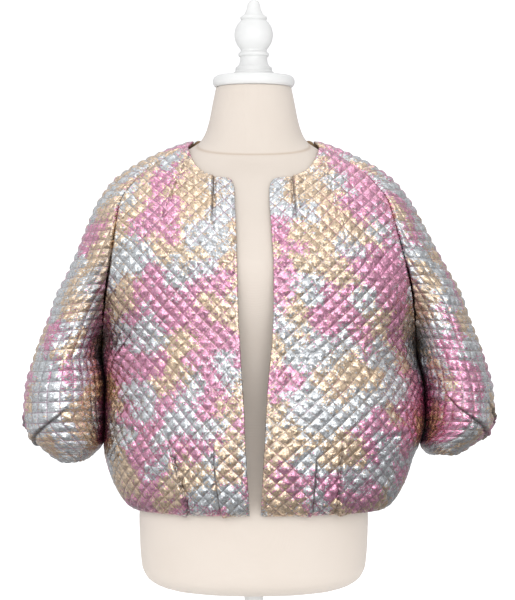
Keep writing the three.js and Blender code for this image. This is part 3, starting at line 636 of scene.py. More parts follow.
def edgeStops(panel, step, heights):
    # the heights of the points along the two side edges, closer where the edge runs nearly level
    stops, starts = ([], []), ([], [])
    ends = readEnds(panel, heights)
    for which in (0, 1):
        points = pointAt(panel, ends[which], heights)
        gaps = np.linalg.norm(np.diff(points, axis=0), axis=1)
        for j, gap in enumerate(gaps):
            count = max(1, math.ceil(gap / (1.4 * step)))
            starts[which].append(len(stops[which]))
            stops[which].extend(np.linspace(heights[j], heights[j + 1], count + 1)[:-1])
        starts[which].append(len(stops[which]))
        stops[which].append(heights[-1])
    return [np.array(line) for line in stops], starts


def rowPart(left, columns, ids, right, shared, part):
    # the points of a row from its left edge to its right one, or its left or right end only
    if part == "left":
        return [*left, *ids[columns <= shared[0]]]
    if part == "right":
        return [*ids[columns >= shared[-1]], *right[::-1]]
    return [*left, *ids, *right[::-1]]


def layFace(panel, step, heights, stops, starts, every):
    # one face of the cloth as (s, t) places, the triangles between them, and its closed border
    s, t, faces, quads, edgeIds, rows = [], [], [], [], [], []
    for which in (0, 1):
        edge = readEnds(panel, stops[which])[which]
        edgeIds.append(np.arange(len(s), len(s) + len(edge)))
        s.extend(edge)
        t.extend(stops[which])
    start, end = readEnds(panel, heights)
    lastRow, nearest = len(heights) - 1, 0.35  # how near to an edge the grid comes, in steps
    for j in range(len(heights)):
        if j % every and j != lastRow:
            continue
        stride = 1 if j in (0, lastRow) else every
        first, last = math.ceil(start[j] / step + nearest), math.floor(end[j] / step - nearest)
        columns = np.array([c for c in range(first, last + 1) if c % stride == 0], int)
        ids = np.arange(len(s), len(s) + len(columns))
        s.extend(columns * step)
        t.extend([heights[j]] * len(columns))
        rows.append((j, columns, ids))
    s, t = np.array(s), np.array(t)
    for (j, lowColumns, lowIds), (nextJ, highColumns, highIds) in zip(rows, rows[1:]):
        ends = []
        for which in (0, 1):
            ids = edgeIds[which][starts[which][j] : starts[which][nextJ] + 1]
            towards = 1 if which == 0 else -1
            inwards = (s[ids[-1]] - s[ids[0]]) * towards >= 0
            ends.append((ids[:1], ids[1:]) if inwards else (ids[-2::-1], ids[-1:]))
        (lowLeft, highLeft), (lowRight, highRight) = ends
        shared = np.intersect1d(lowColumns, highColumns)
        even = every == 1 and len(shared) > 1
        for part in ("left", "right") if even else ("whole",):
            low = rowPart(lowLeft, lowColumns, lowIds, lowRight, shared, part)
            high = rowPart(highLeft, highColumns, highIds, highRight, shared, part)
            zipChains([(k, s[k]) for k in low], [(k, s[k]) for k in high], faces)
        if even:
            low = lowIds[np.searchsorted(lowColumns, shared)]
            high = highIds[np.searchsorted(highColumns, shared)]
            if panel["kind"] == "sleeve":
                slanted = (shared[:-1] + j) % 2 == 0
            else:
                slanted = (shared[:-1] - j) % panel["grid"] == 0
            for turned, a, b, c, d in zip(slanted, low, low[1:], high[1:], high):
                quads.extend([(a, b, c), (a, c, d)] if turned else [(a, b, d), (b, c, d)])
    faces.extend(quads)
    border = [edgeIds[0][0], *rows[0][2], *edgeIds[1], *rows[-1][2][::-1], *edgeIds[0][:0:-1]]
    edges = np.zeros(len(s), int)
    edges[edgeIds[0]] = 1
    edges[edgeIds[1]] = 2
    return s, t, np.array(faces), np.array(border), edges


def distanceTo(points, line):
    tree = kdtree.KDTree(len(line))
    for i, place in enumerate(line):
        tree.insert(place, i)
    tree.balance()
    return np.array([tree.find(place)[2] for place in points])


def stitchPlace(panel, s, t):
    # a place on the cloth, counted in lines of quilting both ways
    down = clothLength(panel, t)
    if panel["kind"] == "sleeve":
        return s / jacket["lines"], down / jacket["lines"]
    return (s + down) / (jacket["lines"] * math.sqrt(2)), (down - s) / (jacket["lines"] * math.sqrt(2))


puffForm = {
    "offMiddle": 0.7,  # how far off its middle the top of a puff may lie
    "pyramid": 0.55,  # the share of a pyramid in its shape, and of a round one
    "round": 0.45,
    "blunt": 0.6,  # less makes the round share blunter
    "fuller": (0.85, 0.3),  # the flattest puff, and how much fuller the fullest one is
    "creases": (7.3, 4.1),  # mm: the large and the small creases of the foil
}


def quiltLift(panel, s, t):
    # each puff is a soft pyramid with its top off the middle, a little fuller or flatter than the next
    a, b = stitchPlace(panel, s, t)
    i, j = np.floor(a).astype(np.int64), np.floor(b).astype(np.int64)
    u, v = 2 * (a - i) - 1, 2 * (b - j) - 1
    topU, topV = [puffForm["offMiddle"] * (hashed(i, j, seed) - 0.5) for seed in (5, 6)]
    sides = [(1 + u) / (1 + topU), (1 - u) / (1 - topU), (1 + v) / (1 + topV), (1 - v) / (1 - topV)]
    pyramid = np.minimum.reduce(sides).clip(0, 1)
    rounded = (np.cos(np.pi * u / 2) * np.cos(np.pi * v / 2)).clip(0, 1) ** puffForm["blunt"]
    puff = puffForm["pyramid"] * pyramid + puffForm["round"] * rounded
    flattest, more = puffForm["fuller"]
    fuller = flattest + more * hashed(i, j, 7)
    down = clothLength(panel, t)
    large, small = puffForm["creases"]
    crumple = np.abs(waves(s + 0.4 * down, down, large, 11))
    crumple = crumple + 0.6 * np.abs(waves(s - 0.6 * down, down, small, 23)) - 0.6
    return jacket["puff"] * puff * fuller + jacket["crumple"] * crumple * rounded


def slide(panel, s, t, toEdge):
    # where each place goes as the lines of quilting wander over the panel
    by, over, near, far = jacket["slip"]
    down, free = clothLength(panel, t), smooth(near, far, toEdge)
    return s + by * free * waves(s, down, over, 41), t + by * free * waves(s, down, over, 42)


def pressedAt(base):
    # 0 at the underarm point, where the cloth is pressed flat, and 1 away from it
    armpit = np.array([float(readColumn(bodyShape, "z", "side", underarmZ)), jacket["sideY"], underarmZ])
    mirrored = np.stack([np.abs(base[:, 0]), base[:, 1], base[:, 2]], axis=1)
    return smooth(*jacket["pressed"], np.linalg.norm(mirrored - armpit, axis=1))


def softLift(panel, s, t, toEdge, base):
    # pleats, creases and slack, which die out at the underarm point, and the shade in the pleats
    pressed = pressedAt(base)
    fold, dark = foldLift(panel["folds"], s, t)
    bend = fold + creaseLift(panel["creases"], s, t) * smooth(0, jacket["creaseFrom"], toEdge)
    high, wide, full = jacket["slack"]
    slack = high * waves(s, clothLength(panel, t), wide, 3) * smooth(0, full, toEdge)
    return bend * pressed, slack * pressed, dark * pressed


def calmness(panel, t, toSeam, base):
    # how full the puffs are: flatter at the body's sides, behind the neck and towards the cuffs
    if panel["kind"] == "sleeve":
        least, low, high = jacket["cuffCalm"]
        neckLeast, neckLow, neckHigh = jacket["neckCalm"]
        atNeck = 1 - (1 - neckLeast) * (1 - smooth(neckLow, neckHigh, t))
        by, over, near, far = jacket["touching"]
        touching = 1 - by * smooth(-over, 0, t - underarmLength) * (1 - smooth(near, far, toSeam))
        return (1 - (1 - least) * smooth(low, high, t)) * atNeck * touching * pressedAt(base)
    least, low, high = jacket["calm"]
    flat = (1 - smooth(low, high, toSeam)) * (1 - smooth(*jacket["calmTop"], t))
    return (1 - (1 - least) * flat) * pressedAt(base)


# The brown shade in the hollow between the sleeves and the body
hollowForm = {
    "body": (0.15, 9, 560, 740),  # how dark it is on the body, how wide, and between which heights it fades
    "sleeve": {-1: 0.62, 1: 0.24},  # how dark it is on each sleeve, by its side
    "wide": (16, 46, 200, 400),  # how wide there, and how much wider it grows between these rows
    "begins": (150, 330),  # and the rows between which it begins
}


def hollowShade(panel, t, toSeam):
    if panel["kind"] != "sleeve":
        dark, wide, low, high = hollowForm["body"]
        return dark * (1 - smooth(0, wide, toSeam)) * (1 - smooth(low, high, t))
    wide, more, start, end = hollowForm["wide"]
    reach = wide + more * smooth(start, end, t)
    dark = hollowForm["sleeve"][panel["side"]]
    return dark * (1 - smooth(0.1, 1, toSeam / reach)) * smooth(*hollowForm["begins"], t)


def wallShare(panel, t):
    # the wall thins where a sleeve turns in sharply at the cuff, so that it doesn't cross itself
    if panel["kind"] != "sleeve":
        return 1.0
    least, far, near = jacket["cuffWall"]
    return least + (1 - least) * smooth(near, far, sleeveLength - t)


def clothFace(panel, rows, inner, outside, wall, plain):
    # the outer or the inner face of the cloth, laid out on its surface and lifted off it
    every = jacket["insideEvery"] if inner else 1
    s, t, faces, border, edges = layFace(panel, *rows, every)
    base, normal = pointAt(panel, s, t), outward(panel, s, t)
    dark, sewn = np.zeros_like(s), np.zeros_like(s)
    for which in (0, 1):
        on = edges == which + 1
        normal[on] = edgeNormals(panel, which, s[on], t[on])
        sewn[on] = 0 if plain else sewnAt(panel, which, t[on])
    lift = outside - (wall * wallShare(panel, t) if inner else 0) + np.zeros_like(s)
    if not plain:
        toEdge = distanceTo(base, base[border])
        seamLine = base[border][sewn[border] > 0.5]
        toSeam = distanceTo(base, seamLine)
        slidS, slidT = slide(panel, s, t, toEdge)
        if not inner:
            onEdge = edges[:, None] > 0
            normal = np.where(onEdge, normal, outward(panel, slidS, slidT))
            base = np.where(onEdge, base, pointAt(panel, slidS, slidT))
        bend, slack, dark = softLift(panel, slidS, slidT, toEdge, base)
        dark = np.maximum(dark, hollowShade(panel, t, toSeam))
        seam = jacket["seamDip"] * hump(toSeam, jacket["seamWide"])
        if inner:
            lift = lift + np.minimum(0, bend) + np.minimum(0, slack) - seam
        else:
            high, beside, wide = jacket["welt"]
            welt = high * hump(toSeam - beside, wide)
            fade = smooth(*jacket["plain"], toEdge) * calmness(panel, t, toSeam, base)
            lift = lift + bend + slack + welt - seam + quiltLift(panel, s, t) * fade
    a, b, c = base[faces].swapaxes(0, 1)
    return {
        "points": base + normal * lift[:, None],
        "faces": faces,
        "border": border,
        "map": np.stack(stitchPlace(panel, s, t), axis=1),
        "dark": dark,
        "free": 1 - sewn[border],
        "area": np.linalg.norm(np.cross(b - a, c - a), axis=1).sum() / 2,
    }


def turnEdge(panel, outer, inner, roundOut):
    # rows of points round the edge of the cloth, from its outer face to its inner one
    tangent = unit(np.roll(outer, -1, axis=0) - np.roll(outer, 1, axis=0))
    away = unit(np.cross(tangent, unit(outer - inner))) * (-1 if panel["mirrored"] else 1)
    for k in range(1, jacket["rimRings"] + 1):
        angle = math.pi * k / (jacket["rimRings"] + 1)
        ring = outer + (inner - outer) * (1 - math.cos(angle)) / 2
        yield ring + away * (roundOut * math.sin(angle))[:, None]


def clothPiece(panel, name, materials, outside=0.0, wall=None, plain=False):
    step, heights = gridOf(panel) if "heights" not in panel else (panel["step"], panel["heights"])
    wall = wall or jacket["wall"]
    rows = (step, heights, *edgeStops(panel, step, heights))
    outer, inner = [clothFace(panel, rows, inside, outside, wall, plain) for inside in (False, True)]
    outerLine, innerLine = outer["points"][outer["border"]], inner["points"][inner["border"]]
    roundOut = jacket["rimRound"] * wall / jacket["wall"] * outer["free"]
    rimPoints = list(turnEdge(panel, outerLine, innerLine, roundOut))
    outerCount, around = len(outer["points"]), len(outerLine)
    rimStart = outerCount + len(inner["points"])
    rings = [np.arange(around) + rimStart + k * around for k in range(len(rimPoints))]
    rings = [outer["border"], *rings, inner["border"] + outerCount]
    rim = []
    for upper, lower in zip(rings, rings[1:]):
        a, b, c, d = upper, np.roll(upper, -1), np.roll(lower, -1), lower
        rim.append(np.stack([b, a, d], axis=1))
        rim.append(np.stack([b, d, c], axis=1))
    faces = np.concatenate([outer["faces"], inner["faces"][:, ::-1] + outerCount, *rim])
    isInside = np.zeros(len(faces), int)
    isInside[len(outer["faces"]) : len(outer["faces"]) + len(inner["faces"])] = 1
    if panel["mirrored"]:
        faces = faces[:, ::-1]
    points = np.concatenate([outer["points"], inner["points"], *rimPoints])
    piece = meshPiece(name, points, faces.tolist(), materials)
    piece.data.polygons.foreach_set("material_index", isInside)
    rimMap = [outer["map"][outer["border"]]] * len(rimPoints)
    uv = np.concatenate([outer["map"], inner["map"], *rimMap]) + panel["place"]
    corners = np.empty(len(piece.data.loops), int)
    piece.data.loops.foreach_get("vertex_index", corners)
    layer = piece.data.uv_layers.new(name="cloth")
    layer.data.foreach_set("uv", (uv * jacket["lines"] * millimetre)[corners].ravel())
    setDark(piece, np.append(outer["dark"], np.zeros(len(points) - outerCount)))
    ends = readEnds(panel, heights)
    size = ((ends[1] - ends[0]).max() * millimetre, np.ptp(clothLength(panel, heights)) * millimetre)
    area = outer["area"] * millimetre**2
    print(name, "faces", len(faces), "cut", [round(x, 3) for x in size], "area", round(area, 4))
    return piece, size, area


def meshPiece(name, points, faces, materials, smoothFaces=None):
    mesh = bpy.data.meshes.new(name)
    mesh.from_pydata((points * millimetre).tolist(), [], faces)
    for material in materials:
        mesh.materials.append(material)
    mesh.polygons.foreach_set("use_smooth", smoothFaces or [True] * len(faces))
    mesh.update()
    piece = bpy.data.objects.new(name, mesh)
    bpy.context.scene.collection.objects.link(piece)
    return piece


def setDark(piece, values):
    # painted shade on the jacket, and the neck seam's colour on the form, mixed into the colour of each
    # point
    piece.data.attributes.new("dark", "FLOAT", "POINT").data.foreach_set("value", values)


# Materials: helpers that add nodes and join them
def newMaterial(name):
    material = bpy.data.materials.new(name)
    material.use_nodes = True
    return material, material.node_tree, material.node_tree.nodes["Principled BSDF"]


def add(tree, kind, inputs=None, **values):
    node = tree.nodes.new(kind)
    for name, value in values.items():
        setattr(node, name, value)
    for name, value in (inputs or {}).items():
        if isinstance(value, bpy.types.NodeSocket):
            tree.links.new(value, node.inputs[name])
        else:
            node.inputs[name].default_value = value
    return node


def maths(tree, operation, a, b=0.0):
    return add(tree, "ShaderNodeMath", {0: a, 1: b}, operation=operation).outputs[0]


def scaled(tree, value, by, plus=0.0):
    return maths(tree, "ADD", maths(tree, "MULTIPLY", value, by), plus)


def vectorMaths(tree, operation, a, b=None, scale=None):
    given = {name: value for name, value in {0: a, 1: b, "Scale": scale}.items() if value is not None}
    node = add(tree, "ShaderNodeVectorMath", given, operation=operation)
    return node.outputs["Value" if operation == "DOT_PRODUCT" else "Vector"]


def mixColor(tree, share, a, b):
    # a Mix node takes its two colours on sockets 6 and 7, and gives the mixed one on 2
    a, b = [value if isinstance(value, bpy.types.NodeSocket) else (*value, 1) for value in (a, b)]
    return add(tree, "ShaderNodeMix", {0: share, 6: a, 7: b}, data_type="RGBA").outputs[2]


def newGroup(name, inputs, outputs):
    group = bpy.data.node_groups.new(name, "ShaderNodeTree")
    for socketName, kind, value in inputs:
        socket = group.interface.new_socket(name=socketName, in_out="INPUT", socket_type="NodeSocket" + kind)
        if value is not None:
            socket.default_value = value
    for socketName, kind in outputs:
        group.interface.new_socket(name=socketName, in_out="OUTPUT", socket_type="NodeSocket" + kind)
    return group, group.nodes.new("NodeGroupInput"), group.nodes.new("NodeGroupOutput")


def placeGroup(tree, group, inputs):
    return add(tree, "ShaderNodeGroup", inputs, node_tree=group)


def setBump(tree, shader, height, strength, distance, normal=None):
    bump = add(tree, "ShaderNodeBump", {"Height": height, "Strength": strength, "Distance": distance})
    if normal:
        tree.links.new(normal, bump.inputs["Normal"])
    tree.links.new(bump.outputs[0], shader.inputs["Normal"])


# Plain weave, for every cloth here: threads over and under each other, with slubs
def makeWeaveGroup():
    group, given, out = newGroup(
        "plainWeave",
        [("Vector", "Vector", None), ("Threads", "Float", 1500.0), ("Slubs", "Float", 0.4)],
        [("Height", "Float")],
    )
    counted = vectorMaths(group, "SCALE", given.outputs["Vector"], scale=given.outputs["Threads"])
    parts = add(group, "ShaderNodeSeparateXYZ", {0: counted})
    across = maths(group, "SINE", maths(group, "MULTIPLY", parts.outputs[0], math.pi))
    along = maths(group, "SINE", maths(group, "MULTIPLY", parts.outputs[1], math.pi))
    weave = maths(group, "MULTIPLY", across, along)
    slub = add(group, "ShaderNodeTexNoise", {"Vector": counted, "Scale": 0.11, "Detail": 2.0})
    uneven = maths(group, "MULTIPLY", slub.outputs[0], given.outputs["Slubs"])
    height = maths(group, "ADD", maths(group, "ABSOLUTE", weave), uneven)
    group.links.new(height, out.inputs["Height"])
    return group


weaveGroup = makeWeaveGroup()

# Brocade: patches of three foils whose borders break into flecks, crumpled between the lines of quilting
brocade = {
    "foils": ((0.66, 0.27, 0.42), (0.68, 0.51, 0.345), (0.57, 0.60, 0.62)),  # pink, gold, silver
    "grooveThreadsAndShade": ((0.31, 0.04, 0.15), (0.27, 0.15, 0.06), (0.18, 0.17, 0.20)),  # dark threads in the grooves, with painted shade
    "shares": (0.32, 0.61),  # where pink ends, and where gold does
    "tone": (0.45, 0.75),  # how much the flecks' lightness varies, and that of the darkest one
    "patch": 27.0,  # patches to the metre
    "slant": (12, (1.3, 0.85, 1)),  # their slant in degrees, and how narrow and long they are
    "bend": (24.0, 0.04),  # their borders bend: bends to the metre, and how far in metres
    "fleck": (45, (360.0, 620.0, 1)),  # their slant in degrees, and how many to the metre, across and along
    "fleckStray": (0.06, 2.2),  # metres that the furthest flecks stray from their patch, and how few do
    "puffStray": (0.022, 0.8),  # and the puffs
    "facets": (230.0, 520.0),  # facets of the crumpled foil to the metre: large and small
    "tilt": (0.46, 0.3),  # how far they turn
    "groove": 0.2,  # how wide the groove at a line of quilting is
    "grooveShare": 0.62,  # how much of the dark threads and painted shade shows in it
    "grooveDeep": 2.0,
    "threads": 900.0,  # to the metre
    "bump": (0.5, 0.0003),
    "gloss": 0.2,  # the roughness of the glossiest flecks
    "dull": (0.2, 0.3),  # and what the dullest flecks and the grooves add to it
    "hollow": (0.05, 0.022, 0.016),  # the colour of the shade in folds and hollows
    "coat": {"Coat Weight": 0.7, "Coat Roughness": 0.25, "Coat IOR": 2.1},
}
halfWay = (0.5, 0.5, 0.5)  # the middle of a random colour


def strayed(group, random, reach, power):
    # a shift for each cell of a texture: few go far
    parts = add(group, "ShaderNodeSeparateColor", {0: random})
    far = maths(group, "MULTIPLY", maths(group, "POWER", parts.outputs[2], power), reach)
    return vectorMaths(group, "SCALE", vectorMaths(group, "SUBTRACT", random, halfWay), scale=far)


def turnAndScale(group, place, turn, scale):
    node = add(group, "ShaderNodeMapping", {"Vector": place, "Scale": scale})
    node.inputs["Rotation"].default_value = (0, 0, math.radians(turn))
    return node.outputs[0]


def countLines(group, place):
    return vectorMaths(group, "SCALE", place, scale=1 / (jacket["lines"] * millimetre))


def makePatchGroup():
    group, given, out = newGroup(
        "brocadePatches",
        [("Vector", "Vector", None)],
        [("Color", "Color"), ("GrooveThreadAndShade", "Color"), ("Fleck", "Float")],
    )
    place = given.outputs["Vector"]
    threads = turnAndScale(group, place, *brocade["fleck"])
    fleck = add(group, "ShaderNodeTexVoronoi", {"Vector": threads, "Scale": 1.0}, voronoi_dimensions="2D")
    fleck = fleck.outputs["Color"]
    counted = vectorMaths(group, "FLOOR", countLines(group, place))
    puff = add(group, "ShaderNodeTexWhiteNoise", {"Vector": counted}).outputs["Color"]
    moved = vectorMaths(group, "ADD", place, strayed(group, fleck, *brocade["fleckStray"]))
    moved = vectorMaths(group, "ADD", moved, strayed(group, puff, *brocade["puffStray"]))
    bends, bendBy = brocade["bend"]
    bend = add(group, "ShaderNodeTexNoise", {"Vector": place, "Scale": bends, "Detail": 2.0})
    bend = vectorMaths(group, "SUBTRACT", bend.outputs["Color"], halfWay)
    moved = vectorMaths(group, "ADD", moved, vectorMaths(group, "SCALE", bend, scale=bendBy))
    slanted = turnAndScale(group, moved, *brocade["slant"])
    patch = add(
        group,
        "ShaderNodeTexVoronoi",
        {"Vector": slanted, "Scale": brocade["patch"], "Randomness": 0.85},
        voronoi_dimensions="2D",
        distance="MANHATTAN",
    )
    picks = add(group, "ShaderNodeSeparateColor", {0: patch.outputs["Color"]})
    random = add(group, "ShaderNodeSeparateColor", {0: fleck})
    colors = []
    for pick, (pink, gold, silver) in zip(picks.outputs, (brocade["foils"], brocade["grooveThreadsAndShade"])):
        isGold, isSilver = [maths(group, "GREATER_THAN", pick, share) for share in brocade["shares"]]
        colors.append(mixColor(group, isSilver, mixColor(group, isGold, pink, gold), silver))
    tone = scaled(group, random.outputs[1], *brocade["tone"])
    group.links.new(vectorMaths(group, "SCALE", colors[0], scale=tone), out.inputs["Color"])
    group.links.new(colors[1], out.inputs["GrooveThreadAndShade"])
    group.links.new(random.outputs[0], out.inputs["Fleck"])
    return group


# Crumpled foil: facets with straight borders, each turned its own way, returned as a normal
def makeFoilGroup():
    group, given, out = newGroup(
        "crumpledFoil",
        [("Vector", "Vector", None), ("Large", "Float", 0.6), ("Small", "Float", 0.3)],
        [("Normal", "Vector")],
    )
    normal = add(group, "ShaderNodeNewGeometry").outputs["Normal"]
    for size, tilt in zip(brocade["facets"], ("Large", "Small")):
        place = {"Vector": given.outputs["Vector"], "Scale": size}
        facet = add(group, "ShaderNodeTexVoronoi", place, voronoi_dimensions="2D")
        turned = vectorMaths(group, "SUBTRACT", facet.outputs["Color"], halfWay)
        turned = vectorMaths(group, "SCALE", turned, scale=given.outputs[tilt])
        normal = vectorMaths(group, "ADD", normal, turned)
    group.links.new(vectorMaths(group, "NORMALIZE", normal), out.inputs["Normal"])
    return group


# Lines of quilting, from the cloth's own map: 1 along a line, 0 on the puffs
def makeStitchGroup():
    group, given, out = newGroup("stitchLines", [("Vector", "Vector", None)], [("Groove", "Float")])
    parts = add(group, "ShaderNodeSeparateXYZ", {0: countLines(group, given.outputs["Vector"])})
    near = []
    for part in (parts.outputs[0], parts.outputs[1]):
        wave = maths(group, "SINE", maths(group, "MULTIPLY", part, math.pi))
        near.append(maths(group, "ABSOLUTE", wave))
    closest = maths(group, "MINIMUM", *near)
    ends = {"From Min": 0.0, "From Max": brocade["groove"], "To Min": 1.0, "To Max": 0.0}
    groove = add(group, "ShaderNodeMapRange", {"Value": closest, **ends}, clamp=True)
    group.links.new(groove.outputs[0], out.inputs["Groove"])
    return group


def makeBrocade():
    material, tree, shader = newMaterial("brocade")
    cloth = add(tree, "ShaderNodeUVMap", uv_map="cloth").outputs[0]
    patches = placeGroup(tree, makePatchGroup(), {"Vector": cloth}).outputs
    groove = placeGroup(tree, makeStitchGroup(), {"Vector": cloth}).outputs["Groove"]
    large, small = brocade["tilt"]
    foil = placeGroup(tree, makeFoilGroup(), {"Vector": cloth, "Large": large, "Small": small})
    weave = placeGroup(tree, weaveGroup, {"Vector": cloth, "Threads": brocade["threads"], "Slubs": 0.5})
    height = scaled(tree, weave.outputs[0], 0.3, patches["Fleck"])
    height = maths(tree, "SUBTRACT", height, maths(tree, "MULTIPLY", groove, brocade["grooveDeep"]))
    setBump(tree, shader, height, *brocade["bump"], foil.outputs[0])
    # the grooves take on dark thread colour together with painted shade
    inGroove = maths(tree, "MULTIPLY", groove, brocade["grooveShare"])
    color = mixColor(tree, inGroove, patches["Color"], patches["GrooveThreadAndShade"])
    # painted shade in the pleats and in the hollows between the sleeves and the body
    dark = add(tree, "ShaderNodeAttribute", attribute_name="dark").outputs["Fac"]
    tree.links.new(mixColor(tree, dark, color, brocade["hollow"]), shader.inputs["Base Color"])
    duller, grooveDuller = brocade["dull"]
    gloss = scaled(tree, patches["Fleck"], duller, brocade["gloss"])
    tree.links.new(scaled(tree, groove, grooveDuller, gloss), shader.inputs["Roughness"])
    shader.inputs["Metallic"].default_value = 1.0
    for name, value in brocade["coat"].items():
        shader.inputs[name].default_value = value
    return material


facingCloth = {
    "colors": ((0.30, 0.19, 0.10), (0.44, 0.30, 0.17)),
    "tone": (60.0, 3.0),  # patches of tone to the metre, and their detail
    "weave": {"Threads": 1600.0, "Slubs": 0.3},
    "bump": (0.4, 0.0002),
    "looks": {"Roughness": 0.48, "Sheen Weight": 0.3},
}
linen = {
    "colors": ((0.575, 0.51, 0.445), (0.62, 0.56, 0.50)),
    "seam": (0.7, (0.45, 0.35, 0.27)),
    "tone": (9.0, 4.0),
    "weave": {"Threads": 1400.0, "Slubs": 0.9},
    "bump": (0.35, 0.0003),
    "looks": {"Roughness": 0.85, "Sheen Weight": 0.15},
}
paint = {
    "colors": ((0.64, 0.65, 0.64), (0.70, 0.70, 0.69)),
    "tone": (25.0, 2.0),
    "grain": (160.0, 4.0),
    "bump": (0.12, 0.0004),
    "gloss": (0.15, 0.28),  # how much roughness the wear adds, and to how much
}


def noise(tree, place, scale, detail):
    return add(tree, "ShaderNodeTexNoise", {"Vector": place, "Scale": scale, "Detail": detail}).outputs[0]


def makeWoven(name, look, place):
    # plain woven cloth, with its seams in another colour where it has any
    material, tree, shader = newMaterial(name)
    if place == "cloth":
        place = add(tree, "ShaderNodeUVMap", uv_map="cloth").outputs[0]
    else:
        place = add(tree, "ShaderNodeTexCoord").outputs["Object"]
    weave = placeGroup(tree, weaveGroup, {"Vector": place, **look["weave"]})
    color = mixColor(tree, noise(tree, place, *look["tone"]), *look["colors"])
    if "seam" in look:
        share, seamColor = look["seam"]
        seam = add(tree, "ShaderNodeAttribute", attribute_name="dark").outputs["Fac"]
        color = mixColor(tree, maths(tree, "MULTIPLY", seam, share), color, seamColor)
    tree.links.new(color, shader.inputs["Base Color"])
    setBump(tree, shader, weave.outputs[0], *look["bump"])
    for socketName, value in look["looks"].items():
        shader.inputs[socketName].default_value = value
    return material


def makePaint():
    material, tree, shader = newMaterial("whitePaint")
    place = add(tree, "ShaderNodeTexCoord").outputs["Object"]
    worn = noise(tree, place, *paint["tone"])
    tree.links.new(mixColor(tree, worn, *paint["colors"]), shader.inputs["Base Color"])
    setBump(tree, shader, noise(tree, place, *paint["grain"]), *paint["bump"])
    tree.links.new(scaled(tree, worn, *paint["gloss"]), shader.inputs["Roughness"])
    return material


brocadeMaterial, paintMaterial = makeBrocade(), makePaint()
facingMaterial = makeWoven("facing", facingCloth, "cloth")
linenMaterial = makeWoven("linen", linen, "object")
print("materials ready")


# The jacket's pieces
def addCloth(panel, node, place, materials, slotName="brocade", **options):
    # place is where its map begins, in lines of quilting, so that no two pieces show the same patches
    panel["place"] = np.array(place)
    piece, size, area = clothPiece(panel, node + "_cloth", materials, **options)
    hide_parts(node)
    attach(piece, "root")
    return piece


outsideIn = [brocadeMaterial, facingMaterial]
addCloth(fronts[1], "front_left", (20, 10), outsideIn)
addCloth(fronts[-1], "front_right", (140, 30), outsideIn)
addCloth(back, "back", (280, 15), outsideIn)
addCloth(sleeves[1], "sleeve_left", (410, 50), outsideIn)
addCloth(sleeves[-1], "sleeve_right", (560, 20), outsideIn)

facing = {
    "depth": 14,
    "thickness": 1,
    "inset": 16,  # it ends this far before the back neckline does, on both sides
    "clear": 2.5,  # from the back's inside
    "step": 3.5,
    "rows": 6,
}
backTopZ = jacket["backTop"][2]
neckFacing = {
    "kind": "facing",
    "side": 0,
    "mirrored": True,
    "surface": backSurface,
    "grid": 1,
    "inset": facing["inset"],
    "step": facing["step"],
    "heights": np.linspace(backTopZ - facing["depth"], backTopZ - 1, facing["rows"]),
}
addCloth(
    neckFacing,
    "back_neck_facing",
    (0, 200),
    [facingMaterial, facingMaterial],
    "facing",
    outside=-jacket["wall"] - facing["clear"],
    wall=facing["thickness"],
    plain=True,
)
print("jacket ready")

# The form: half its width, and its front and back at the middle
formShape = table(
    "z side front back",
    (200, 100, -60, 60),
    (204, 124, -80, 79),
    (211, 145, -95, 94),
    (222, 160, -106, 104),
    (240, 168, -112, 109),
    (276, 171, -115, 112),
    (312, 172, -116, 113),
    (350, 167, -113, 109),
    (420, 146, -104, 96),
    (495, 121, -94, 80),
    (560, 126, -100, 84),
    (630, 140, -115, 92),
    (685, 148, -123, 98),
    (735, 161, -113, 101),
    (775, 178, -97, 98),
    (800, 184, -86.2, 93),
    (817, 181, -78.3, 86.2),
    (830, 165, -70.4, 80.4),
    (842, 141, -63.6, 71.4),
    (853, 114, -60.6, 63.6),
    (862, 97, -60, 58),
    (873, 81, -60, 55),
    (886, 73, -60, 54),
    (905, 67, -61, 51),
    (930, 62, -62, 49),
    (954, 57, -62, 47),
)
form = {
    "sides": 160,
    "rowEvery": 5,
    "lowRows": (200, 204, 207.5, 211, 215, 220),  # closer rows, where it rounds in underneath and at its top
    "topRows": (950, 952.6, 954),
    "inset": (0.3, 0.6, 1.5),  # how far it lies inside the CAD: at the lowest row, all over and at the top
    "neckSeam": (875, 25, 1.3),  # the seam round the neck: how high, how much it tilts, and how wide it is
    "seamDeep": (0.7, 60),  # how deep it is, where the neck is so far from its middle
    "seamRows": 4,  # the rows are closer together from this far below it to as far above
}


